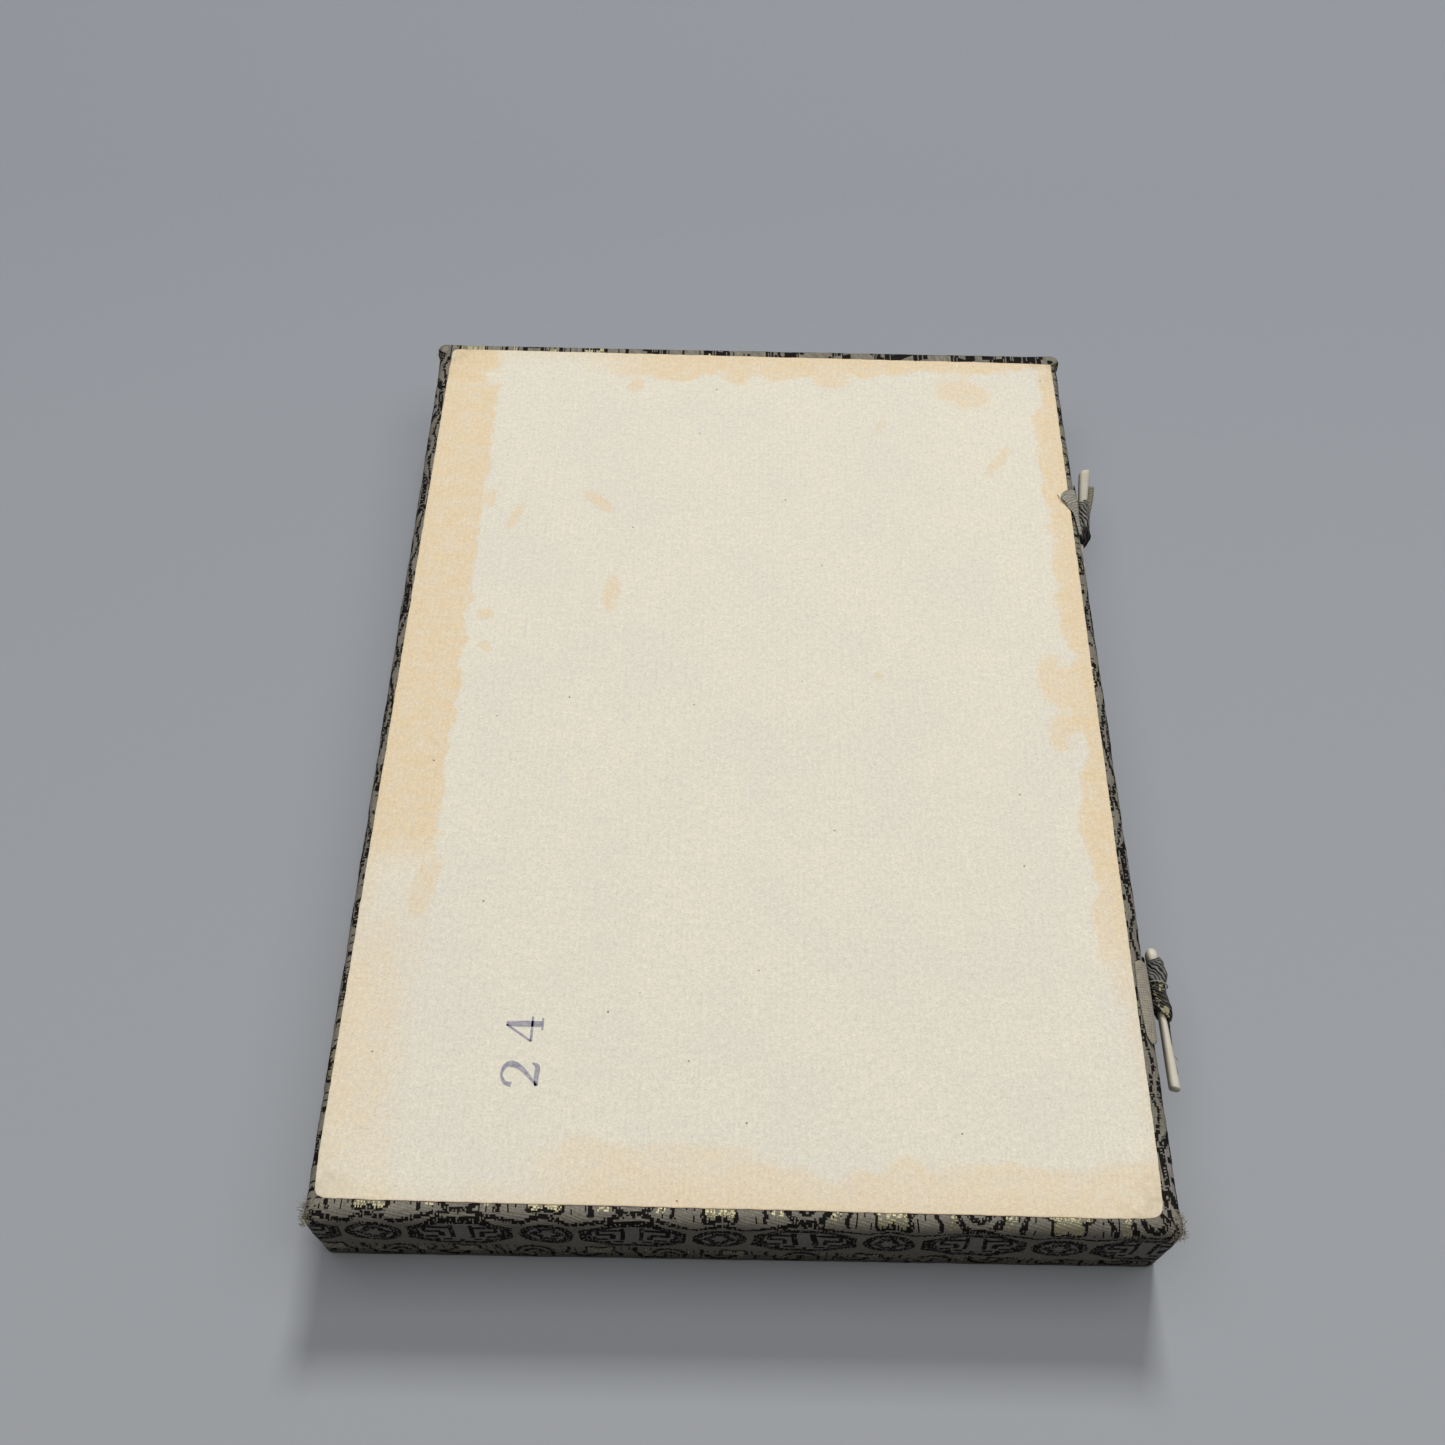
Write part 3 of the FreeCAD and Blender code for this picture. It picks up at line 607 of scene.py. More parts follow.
def pasted_paper():
    """Machine-made wove paper pasted to board, aged. The sheet has faint ribs from the felt,
    short pale fibres, cloudy tone, and tan stains where the paste came through over the
    turned-in cloth. The eye gets a matt, chalky, slightly uneven cream."""
    sheet = bpy.context.scene.box_paper
    material, add, shader = new_material("aged_pasted_paper")
    place = add("UVMap", uv_map=CLOTH_MAP)
    half_x, half_y = (PAPER_HIGH - PAPER_LOW).x / 2, (PAPER_HIGH - PAPER_LOW).y / 2
    wander = add("TexNoise", {"Vector": place, "Scale": 0.16, "Detail": 4.0,
                              "Roughness": 0.6}, output=1)
    wander = add("VectorMath SUBTRACT", (wander, (0.5, 0.5, 0.5)))
    wander = add("VectorMath SCALE", {0: wander, "Scale": 7.5})
    moved = add("VectorMath ADD", (place, wander))
    flat = add("SeparateXYZ", (moved,), output=None)
    x, y = flat.outputs[0], flat.outputs[1]
    broad = add("TexNoise", {"Vector": place, "Scale": 0.045, "Detail": 2.0})
    cloud = add("TexNoise", {"Vector": place, "Scale": 0.3, "Detail": 6.0,
                             "Roughness": 0.62})

    from_left, from_right = add("Math ADD", (x, half_x)), add("Math SUBTRACT", (half_x, x))
    from_far, from_near = add("Math SUBTRACT", (half_y, y)), add("Math ADD", (y, half_y))
    uneven = add("Math MULTIPLY_ADD", (broad, 26.0, -13.0))
    toward_near = add("Math MULTIPLY", (y, -1.0))
    # Stained bands: distance in from the edge, how uneven, width, softness, strength, and
    # where along the edge the band fades in.
    bands = [(from_left, 0.0, sheet.turn_in, 0.5, 1.0, [(y, -44.0, -30.0),
                                                        (from_far, 10.0, 13.5)]),
             (from_far, 1.0, 6.5, 0.9, 1.0, [(x, -46.0, -20.0)]),
             (from_right, 0.5, 6.3, 0.8, 1.0, [(y, -82.0, -30.0)]),
             (from_near, 0.7, 8.5, 1.5, 0.6, [(x, -44.0, -22.0)]),
             (from_left, 0.0, sheet.turn_in, 2.5, 0.28, [(toward_near, 28.0, 60.0)])]
    stain = None
    for from_edge, sway, width, soft, strength, fades in bands:
        from_edge = add("Math MULTIPLY_ADD", (uneven, sway, from_edge))
        band = add("MapRange", (from_edge, width - soft, width + soft, strength, 0.0),
                   interpolation_type="SMOOTHSTEP")
        for value, low, high in fades:
            fade = add("MapRange", (value, low, high, 0.0, 1.0),
                       interpolation_type="SMOOTHSTEP")
            band = add("Math MULTIPLY", (band, fade))
        stain = band if stain is None else add("Math MAXIMUM", (stain, band))
    # Blots where paste soaked through: place, size, slant and strength.
    blots = [(-35, 56, 4.9, 2.2, 42, 0.6), (-30.5, 30, 2.3, 6.2, 6, 0.6),
             (-54, 51, 1.6, 5.4, 24, 0.5), (-60, 56.5, 1.8, 3.4, 0, 0.6),
             (-58, 23, 2.2, 1.3, 10, 0.6), (-57, 14, 2.4, 1.4, 30, 0.6),
             (59, 71.5, 1.5, 8.0, 36, 0.45), (31, 82, 1.5, 2.4, 20, 0.4),
             (-28.5, 94, 2.3, 3.2, 8, 0.6), (52, 94, 8.5, 5.5, 20, 0.55),
             (20, 98, 5.5, 4.2, 0, 0.6), (67, 8, 4.5, 9.0, -8, 0.6),
             (67, -4, 3.5, 6.0, 10, 0.6), (-63, -44, 3.0, 9.0, 12, 0.5),
             (28, 8.6, 1.2, 1.6, 0, 0.4), (-70, 100, 9.0, 9.5, 0, 1.0),
             (-70, -75, 7.0, 30.0, 0, 0.4), (-15, -97, 26.0, 4.5, 0, 0.35)]
    gentle = add("VectorMath SCALE", {0: wander, "Scale": 0.5})
    near_place = add("VectorMath ADD", (place, gentle))
    for at_x, at_y, wide, tall, slant, strength in blots:
        local = add("Mapping", {"Vector": near_place, "Location": (at_x, at_y, 0),
                                "Rotation": (0, 0, math.radians(-slant)),
                                "Scale": (wide, tall, 1)}, vector_type="TEXTURE")
        far = add("VectorMath LENGTH", (local,), output=1)
        blot = add("MapRange", (far, 0.6, 1.1, 1.3 * strength, 0.0),
                   interpolation_type="SMOOTHSTEP")
        stain = add("Math MAXIMUM", (stain, blot))
    patchy = add("MapRange", (cloud, 0.32, 0.66, 0.5, 1.0))
    stain = add("Math MULTIPLY", (stain, patchy))

    # Felt ribs run along the sheet about 1.1 mm apart; fibres are drawn 0.35 mm wide.
    ribs = add("TexWave", {"Vector": place, "Scale": 0.29, "Distortion": 2.6, "Detail": 3.0,
                           "Detail Scale": 0.8}, wave_type="BANDS", bands_direction="X")
    stretched = add("Mapping", {"Vector": place, "Scale": (2.6, 0.35, 1.0)})
    fibres = add("TexNoise", {"Vector": stretched, "Scale": 1.0, "Detail": 4.0,
                              "Roughness": 0.65})
    grain = add("TexNoise", {"Vector": place, "Scale": 2.4, "Detail": 3.0, "Roughness": 0.7})
    mottle = add("TexNoise", {"Vector": place, "Scale": 0.95, "Detail": 5.0,
                              "Roughness": 0.72})
    specks = add("TexVoronoi", {"Vector": place, "Scale": 0.16, "Randomness": 1.0})
    kept = add("TexNoise", {"Vector": place, "Scale": 0.21, "Detail": 0.0})
    specks = add("Math MULTIPLY", (add("Math LESS_THAN", (specks, 0.036)),
                                   add("Math GREATER_THAN", (kept, 0.52))))
    foxed = add("TexNoise", {"Vector": place, "Scale": 0.5, "Detail": 5.0, "Roughness": 0.75})
    foxed = add("MapRange", (foxed, 0.63, 0.8, 0.0, 0.55))
    edge = add("Math MINIMUM", (add("Math MINIMUM", (from_left, from_right)),
                                add("Math MINIMUM", (from_far, from_near))))
    rubbed = add("MapRange", (edge, 0.0, 5.5, 0.3, 0.0), interpolation_type="SMOOTHSTEP")
    # Where a corner rubbed the table, grey dirt sits in the fibres.
    true_place = add("SeparateXYZ", (place,), output=None)
    corner_x, corner_y = (
        add("Math SUBTRACT", (half, add("Math ABSOLUTE", (true_place.outputs[at],))))
        for at, half in ((0, half_x), (1, half_y)))
    corner = add("Math ADD", (corner_x, corner_y))
    dirt = add("MapRange", (corner, 2.0, 15.0, 0.5, 0.0), interpolation_type="SMOOTHSTEP")
    dirt = add("Math MULTIPLY", (dirt, add("MapRange", (cloud, 0.42, 0.66, 0.0, 1.0))))
    rim = add("MapRange", (add("Math MINIMUM", (corner_x, corner_y)), 0.1, 0.55, 0.75, 0.0))

    # Tones laid over the cream, one after the other.
    tone = sheet.paper
    for share, laid in ((add("MapRange", (cloud, 0.32, 0.68, 0.0, 1.0)), linear("#e9e1cb")),
                        (add("MapRange", (broad, 0.4, 0.62, 0.0, 0.55)), linear("#e0dacd")),
                        (add("Math MULTIPLY", (fibres, 0.16)), linear("#f1ecdd")),
                        (stain, sheet.band), (rubbed, linear("#e2cba4")),
                        (dirt, linear("#a99f86")), (foxed, sheet.foxing),
                        (add("Math MULTIPLY", (specks, 0.75)), linear("#6b6258")),
                        (rim, sheet.edge)):
        tone = add("Mix RGBA", {0: share, 6: tone, 7: laid}, 2)
    shade = add("Math MULTIPLY_ADD", (grain, 0.55, 0.48))
    shade = add("Math MULTIPLY_ADD", (ribs, 0.02, shade))
    shade = add("Math MULTIPLY_ADD", (mottle, 0.45, shade))
    tone = add("Mix RGBA", {0: 1.0, 6: tone, 7: add("CombineXYZ", (shade, shade, shade))}, 2,
               blend_type="MULTIPLY")
    relief = add("Math MULTIPLY", (fibres, 0.6))
    relief = add("Math MULTIPLY_ADD", (ribs, 0.25, relief))
    relief = add("Math MULTIPLY_ADD", (grain, 0.5, relief))
    bump = add("Bump", {"Strength": 0.35, "Distance": 0.1 * MM, "Height": relief})
    plug(shader, tone, add("MapRange", (stain, 0.0, 1.0, 0.93, 0.8)), bump)
    shader.inputs["IOR"].default_value = 1.4
    return material


def stamp_ink():
    """Rubber-stamped office ink, faded. The eye gets a soft, patchy violet-grey that lets the
    paper's grain through."""
    sheet = bpy.context.scene.box_paper
    material, add, shader = new_material("faded_stamp_ink")
    place = add("TexCoord", output=3)
    patchy = add("TexNoise", {"Vector": place, "Scale": 1500.0, "Detail": 4.0,
                              "Roughness": 0.7})
    worn = add("MapRange", (patchy, 0.38, 0.66, 0.0, 0.6))
    tone = add("Mix RGBA", {0: worn, 6: sheet.ink, 7: linear("#cdc7c0")}, 2)
    plug(shader, tone, add("MapRange", (patchy, 0.0, 1.0, 0.95, 0.8)))
    return material


def sawn_bone():
    """Cattle bone, sawn, filed and rubbed to a low polish. The eye gets a warm white with
    short grey-brown pores along the grain and a soft highlight."""
    clasp = bpy.context.scene.box_clasp
    material, add, shader = new_material("polished_bone")
    place = add("TexCoord", output=3)
    place = add("Mapping", {"Vector": place, "Scale": (1000, 1000, 1000)})
    # Blood channels are 0.1 mm wide and a few mm long; they are drawn 0.2 mm wide.
    along = add("Mapping", {"Vector": place, "Scale": (4.5, 0.5, 4.5)})
    pores = add("TexNoise", {"Vector": along, "Scale": 1.0, "Detail": 3.0, "Roughness": 0.6})
    pores = add("MapRange", (pores, 0.58, 0.72, 0.0, 0.7))
    cloud = add("TexNoise", {"Vector": place, "Scale": 0.35, "Detail": 3.0})
    warm = add("MapRange", (cloud, 0.35, 0.7, 0.0, 0.5))
    tone = add("Mix RGBA", {0: warm, 6: clasp.bone, 7: linear("#c9bc9b")}, 2)
    tone = add("Mix RGBA", {0: pores, 6: tone, 7: clasp.pore}, 2)
    file_marks = add("TexNoise", {"Vector": along, "Scale": 2.6, "Detail": 4.0})
    bump = add("Bump", {"Strength": 0.25, "Distance": 0.05 * MM, "Height": file_marks})
    plug(shader, tone, add("MapRange", (file_marks, 0.2, 0.8, 0.38, 0.58)), bump)
    for name, value in (("IOR", 1.54), ("Subsurface Weight", 0.12), ("Subsurface Scale", 0.5),
                        ("Subsurface Radius", (0.0012, 0.0009, 0.0006))):
        shader.inputs[name].default_value = value
    return material


def satin(name, silk, silk_shade):
    """Woven satin silk, glued over card. Long warp floats give it smooth, bright streaks along
    one way and a soft broad sheen."""
    if name in MATERIALS:
        return MATERIALS[name]
    material, add, shader = new_material(name)
    place = add("UVMap", uv_map=CLOTH_MAP)
    # Satin floats are 0.1 mm wide; they are drawn 0.3 mm wide and 2.5 mm long.
    floats = add("Mapping", {"Vector": place, "Scale": (3.3, 0.4, 1.0)})
    floats = add("TexNoise", {"Vector": floats, "Scale": 1.0, "Detail": 3.0,
                              "Roughness": 0.6})
    slub = add("Mapping", {"Vector": place, "Scale": (0.05, 2.2, 1.0)})
    slub = add("TexNoise", {"Vector": slub, "Scale": 1.0, "Detail": 2.0})
    cloud = add("TexNoise", {"Vector": place, "Scale": 0.05, "Detail": 3.0})
    share = add("Math MULTIPLY", (floats, slub))
    tone = silk
    for shape, low, high, start, end in ((share, 0.12, 0.42, 0.75, 0.0),
                                         (cloud, 0.45, 0.7, 0.0, 0.35)):
        shaded = add("MapRange", (shape, low, high, start, end))
        tone = add("Mix RGBA", {0: shaded, 6: tone, 7: silk_shade}, 2)
    bump = add("Bump", {"Strength": 0.4, "Distance": 0.08 * MM, "Height": floats})
    plug(shader, tone, add("MapRange", (floats, 0.2, 0.8, 0.52, 0.36)), bump)
    shader.inputs["Sheen Weight"].default_value = 0.25
    shader.inputs["Anisotropic"].default_value = 0.4
    MATERIALS[name] = material
    return material


def pulp(name, base, fleck, coarse):
    """Pressed pulp board or cotton wadding. The eye gets a dull, matt surface with short
    fibres and flecks of darker stock."""
    material, add, shader = new_material(name)
    place = add("TexCoord", output=3)
    fibres = add("TexNoise", {"Vector": place, "Scale": 900.0 / coarse, "Detail": 6.0,
                              "Roughness": 0.7})
    flecks = add("TexVoronoi", {"Vector": place, "Scale": 380.0 / coarse})
    flecks = add("Math LESS_THAN", (flecks, 0.18))
    tone = base
    for share in (add("MapRange", (fibres, 0.3, 0.7, 0.0, 0.6)),
                  add("Math MULTIPLY", (flecks, 0.4))):
        tone = add("Mix RGBA", {0: share, 6: tone, 7: fleck}, 2)
    bump = add("Bump", {"Strength": 0.5, "Distance": 0.15 * MM, "Height": fibres})
    plug(shader, tone, add("MapRange", (fibres, 0.0, 1.0, 0.98, 0.85)), bump)
    return material


def spun_yarn(name, yarn, dark):
    """Loose silk yarn pulled out of the weave. The eye gets fine twisted strands that go from
    light to dark along their length."""
    if name in MATERIALS:
        return MATERIALS[name]
    material, add, shader = new_material(name)
    place = add("UVMap", uv_map=CLOTH_MAP)
    twist = add("Mapping", {"Vector": place, "Scale": (2.0, 0.8, 1.0)})
    twist = add("TexNoise", {"Vector": twist, "Scale": 1.0, "Detail": 2.0})
    strand = add("ObjectInfo", output=5)
    spread = add("TexNoise", {"Vector": add("TexCoord", output=3), "Scale": 2400.0,
                              "W": strand}, noise_dimensions="4D")
    share = add("MapRange", (add("Math ADD", (twist, spread)), 0.75, 1.25, 0.0, 1.0))
    tone = add("Mix RGBA", {0: share, 6: dark, 7: yarn}, 2)
    plug(shader, tone, add("MapRange", (twist, 0.0, 1.0, 0.85, 0.6)))
    shader.inputs["Sheen Weight"].default_value = 0.2
    MATERIALS[name] = material
    return material


# ---------------------------------------------------------------- cloth over the boards
# Thickness of the glued brocade, in mm.
CLOTH_THICK = 0.3
# Where the pattern starts along each side, and how far down, in mm.
COVER_SHIFT, COVER_DROP = (-10.9, 4.0, 7.5, -2.0), 5.6


def cover_place(side, point, down):
    """Place on the flat cloth of a point on a side, down being the way over the base's edge."""
    (dx, dy), _ = SIDES[side]
    along = dx * point.x + dy * point.y
    # The cloth has slipped off its grain, most of all along the near wall.
    slip = 0.036 * max(0.0, point.x + 36.0) if side == 0 else 0.02 * along
    return along + COVER_SHIFT[side], down - COVER_DROP - slip


class BOX_OT_tray_cover(bpy.types.Operator):
    """Builds the brocade skin of the tray, from under the paper over the edge to the rim"""
    bl_idname = "box.tray_cover"
    bl_label = "Tray cover"

    def execute(self, context):
        cloth = context.scene.box_brocade
        half_x, half_y = TRAY_HIGH.x, TRAY_HIGH.y
        top, low = TRAY_HIGH.z, TRAY_LOW.z
        edge, rim = cloth.edge_radius, 0.55
        # The far edge's crease, its bulge, and how far the walls lean in at the top, in mm.
        far_crease, far_bulge, lean_in = 0.7, 1.75, 0.35
        outline = Outline((0, 0), half_x, half_y, (cloth.corner_radius,) * 4, 1.15)
        border = [(13.6, top - 0.02), (8.0, top - 0.02), (3.2, top)]
        over = arc((edge, top - edge), edge, 90, 0, 7)
        under = arc((rim, low + rim), rim, 0, -90, 5)
        inner = [(2.9, low), (3.3, low + 0.25), (3.42, low + 0.7), (3.42, low + 5.5)]
        upper = spaced(border + over, 0.55)
        profile = upper + spaced([over[-1], under[0]], 1.2)[1:]
        profile += under[1:] + spaced([under[-1]] + inner, 1.0)[1:]
        edge_run = lengths(profile)[len(upper) - 4]

        def shape(point, inset, at):
            side, _, turn = outline.stations[at]
            direction = Vector(SIDES[side][1])
            if turn is not None:
                angle = turn * math.pi / 2
                direction = (direction * math.cos(angle)
                             + Vector(SIDES[side][0]) * math.sin(angle))
            # Over the far edge the cloth is creased sharper and stands out a little.
            far = max(direction.y, 0.0)
            if inset < edge and point.z > top - edge - 0.01:
                sharp = 1 - (1 - far_crease / edge) * far
                point.x += direction.x * inset * (1 - sharp)
                point.y += direction.y * inset * (1 - sharp)
                point.z = top - (top - point.z) * sharp
                inset *= sharp
            on_top, on_wall = point.z > top - 0.3, inset < 2.0
            swell = cloth.pucker * (0.55 + 0.5 * rough(point, 9.0) + 0.5 * rough(point, 2.3, 5))
            lift = swell * smooth(0.0, 1.5, inset) if on_top else 0.0
            push = swell * smooth(3.2, 0.6, inset) if inset < 1.2 else 0.0
            # Folded cloth bulks up the base's corners, in a mitre at each.
            gap_x, gap_y = half_x - abs(point.x), half_y - abs(point.y)
            bulk = smooth(9.0, 1.5, gap_x + gap_y) * smooth(low + 4.0, top, point.z)
            if on_wall:
                push += 0.22 * bulk * (1 + 0.7 * rough(point, 1.6, 9))
                push -= lean_in * smooth(low + 9.0, top - 2.6, point.z)
                push += far_bulge * far * smooth(low + 2, top - 0.8, point.z)
            if on_top and 0.8 < inset < 7.0:
                lift += 0.16 * smooth(1.1, 0.2, abs(gap_x - gap_y))
                lift += 0.10 * bulk * rough(point, 1.2, 3)
            if side in (1, 3) and inset < 1.6:
                ripple = 0.16 * rough((point.y, side, 0), 5.5, 2)
                ripple += 0.10 * rough((point.y, side, 0), 1.7, 7)
                push += ripple * smooth(low + 6, top - 0.6, point.z)
            if inset > 2.5 and point.z < top - 0.5:
                push = 0.0
            point.x += direction.x * push
            point.y += direction.y * push
            point.z += lift * (0.6 if inset < 9 else 0.0)
            return point

        def flat(side, point, inset, length):
            return cover_place(side, point, length - edge_run)

        grid = swept(outline, profile, shape, flat)
        piece = new_piece("tray_brocade_cover", grid, cover_cloth(), turned=False)
        thicken(piece, CLOTH_THICK, 1.0)
        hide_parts("tray_cover")
        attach(piece, "tray")
        return {"FINISHED"}


class BOX_OT_lid_cover(bpy.types.Operator):
    """Builds the brocade skin of the padded lid, which is the face on the table"""
    bl_idname = "box.lid_cover"
    bl_label = "Lid cover"

    def execute(self, context):
        cloth = context.scene.box_brocade
        half_x, half_y, top = LID_HIGH
        lip, foot_radius = 0.6, 0.65
        outline = Outline((0, 0), half_x, half_y, (cloth.corner_radius,) * 4, 1.5)
        over = arc((lip, top - lip), lip, 90, 0, 5)
        under = arc((foot_radius, foot_radius), foot_radius, 0, -90, 5)
        face = [(inset, 0.0) for inset in (2.2, 4, 7, 12, 20, 32, 48, half_x)]
        profile = [(13.5, top - 0.02)] + spaced([(5, top - 0.02)] + over, 0.6)
        profile += spaced([over[-1], under[0]], 0.8)[1:] + under[1:] + face
        foot = lengths(profile)[len(profile) - len(face) - 1]

        def shape(point, inset, at):
            side = outline.side_of(at)
            swell = cloth.pucker * (0.5 + 0.6 * rough(point, 7.0, 3) + 0.4 * rough(point, 2.0, 8))
            if inset < 1.25:
                point.xy += Vector(SIDES[side][1]) * swell
            elif point.z > 1.0:
                point.z += 0.3 * swell * smooth(0.6, 2.0, inset)
            return point

        def flat(side, point, inset, length):
            # Cloth above the foot is laid out flat beyond the edge of the face.
            out = SIDES[side][1]
            past = foot - length - foot_radius + inset if point.z > 0.01 else 0.0
            return point.x + out[0] * past + 4.0, -(point.y + out[1] * past) - 3.0

        grid = swept(outline, profile, shape, flat)
        piece = new_piece("lid_brocade_cover", grid, lid_cloth(), turned=False)
        thicken(piece, CLOTH_THICK, 1.0)
        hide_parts("lid_cover")
        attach(piece, "lid")
        return {"FINISHED"}


# ---------------------------------------------------------------- paper
# How far askew the sheet is pasted, and how much further it reaches at the far edge, in mm.
PAPER_TURN, FAR_REACH = math.radians(-0.45), 0.7


def paper_frame():
    """Centre and half sizes of the pasted sheet, in mm, before its small turn."""
    centre = (PAPER_LOW + PAPER_HIGH) / 2
    wide, long = (PAPER_HIGH - PAPER_LOW).x, (PAPER_HIGH - PAPER_LOW).y
    turn = abs(math.sin(PAPER_TURN))
    long, centre.y = long + FAR_REACH, centre.y + FAR_REACH / 2
    half_y = (long - wide * turn) / (1 - turn * turn) / 2
    half_x = (wide - 2 * half_y * turn) / 2
    return centre, half_x, half_y


def on_box(point, centre):
    """A place on the paper as a place on the box: the sheet is pasted a little askew."""
    moved = Matrix.Rotation(PAPER_TURN, 3, "Z") @ Vector(point)
    return Vector((moved.x + centre.x, moved.y + centre.y, moved.z))


def stroke(grid, path, widths, level):
    """A flat pen stroke: a ribbon along a path whose width changes, with a fine uneven edge."""
    points = [Vector((x, y, 0)) for x, y in path]
    rows = []
    for at, point in enumerate(points):
        heading = (points[min(at + 1, len(points) - 1)] - points[max(at - 1, 0)]).normalized()
        across = Vector((-heading.y, heading.x, 0)) * widths[at] / 2
        wobble = 0.05 * rough(point, 0.5, 4)
        raised = point + Vector((0, 0, level))
        upper, lower = raised + across * (1 + wobble), raised - across * (1 - wobble)
        rows.append([upper, (upper + lower) / 2, lower])
    patch(grid, rows, [[p.xy for p in row] for row in rows])


def curve_points(knots, steps=8):
    """A smooth path through knots of three numbers, such as x, y and a pen's width."""
    path = []
    count = len(knots)
    for k in range(count - 1):
        a, b = knots[max(k - 1, 0)], knots[k]
        c, d = knots[k + 1], knots[min(k + 2, count - 1)]
        for step in range(steps):
            t = step / steps
            path.append(tuple(0.5 * (2 * b[i] + (c[i] - a[i]) * t
                                     + (2 * a[i] - 5 * b[i] + 4 * c[i] - d[i]) * t ** 2
                                     + (3 * b[i] - a[i] - 3 * c[i] + d[i]) * t ** 3)
                              for i in range(3)))
    path.append(knots[-1])
    return path


# Strokes of the two stamped digits in a unit box: x to the right, y up, then pen width.
DIGIT_TWO = [[(0.08, 0.72, 0.14), (0.14, 0.90, 0.10), (0.36, 1.0, 0.07), (0.60, 0.90, 0.13),
              (0.64, 0.70, 0.17), (0.50, 0.45, 0.13), (0.24, 0.20, 0.08), (0.06, 0.05, 0.07)],
             [(0.06, 0.06, 0.10), (0.30, 0.07, 0.13), (0.58, 0.06, 0.13), (0.68, 0.20, 0.04)]]
DIGIT_FOUR = [[(0.50, 1.0, 0.05), (0.28, 0.66, 0.06), (0.04, 0.30, 0.06)],
              [(0.04, 0.30, 0.07), (0.40, 0.30, 0.07), (0.74, 0.30, 0.06)],
              [(0.52, 1.0, 0.13), (0.53, 0.5, 0.17), (0.53, 0.04, 0.16)],
              [(0.36, 0.02, 0.05), (0.54, 0.02, 0.06), (0.70, 0.02, 0.05)]]


class BOX_OT_paper(bpy.types.Operator):
    """Builds the pasted base paper with worn edges and a stamped plain number"""
    bl_idname = "box.paper"
    bl_label = "Base paper"

    def execute(self, context):
        centre, half_x, half_y = paper_frame()
        low, high = PAPER_LOW.z, PAPER_HIGH.z
        outline = Outline((0, 0), half_x, half_y, (3.0, 1.0, 1.6, 2.6), 1.3)
        profile = [(inset, low + 0.005) for inset in (half_x, 40, 12)]
        profile += [(0.25, low + 0.01), (0.04, low + 0.03), (0.0, low + 0.1), (0.03, high - 0.02)]
        profile += [(inset, high) for inset in (0.14, 0.6, 1.5, 3, 6, 11, 18, 28, 42, 58, half_x)]

        def shape(point, inset, at):
            fray = smooth(1.6, 0.0, inset)
            nibble = -0.10 + 0.10 * rough(point, 3.0, 1) + 0.07 * rough(point, 0.8, 6)
            corner = (half_x - abs(point.x)) + (half_y - abs(point.y))
            nibble *= 1 + 1.6 * smooth(12, 3, corner)
            if abs(point.x / half_x) > abs(point.y / half_y):
                point.x += math.copysign(1, point.x) * nibble * fray
            else:
                point.y += math.copysign(1, point.y) * nibble * fray
            if point.z > low + 0.15:
                point.z += 0.03 * rough(point, 22.0, 2) - 0.03
            return on_box(point, centre)

        def flat(side, point, inset, length):
            return (point.x, point.y)

        grid = swept(outline, profile, shape, flat)
        piece = new_piece("pasted_paper_sheet", grid, pasted_paper(), turned=False)
        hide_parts("base_paper")
        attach(piece, "tray")

        # The digits' height, and where their feet and their left sides stand, in mm.
        ink = bmesh.new()
        tall, feet = 6.9, -37.0
        for digit, start in ((DIGIT_TWO, -84.0), (DIGIT_FOUR, -75.4)):
            for knots in digit:
                path = curve_points(knots)
                # The number reads towards the far end, so its feet point to the clasps.
                placed = [(feet - y * tall, start + x * tall) for x, y, _ in path]
                stroke(ink, placed, [w * tall for _, _, w in path], high + 0.012)
        for vertex in ink.verts:
            vertex.co = on_box(vertex.co, centre)
        number = new_piece("stamped_number", ink, stamp_ink(), turned=False)
        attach(number, "tray")
        return {"FINISHED"}


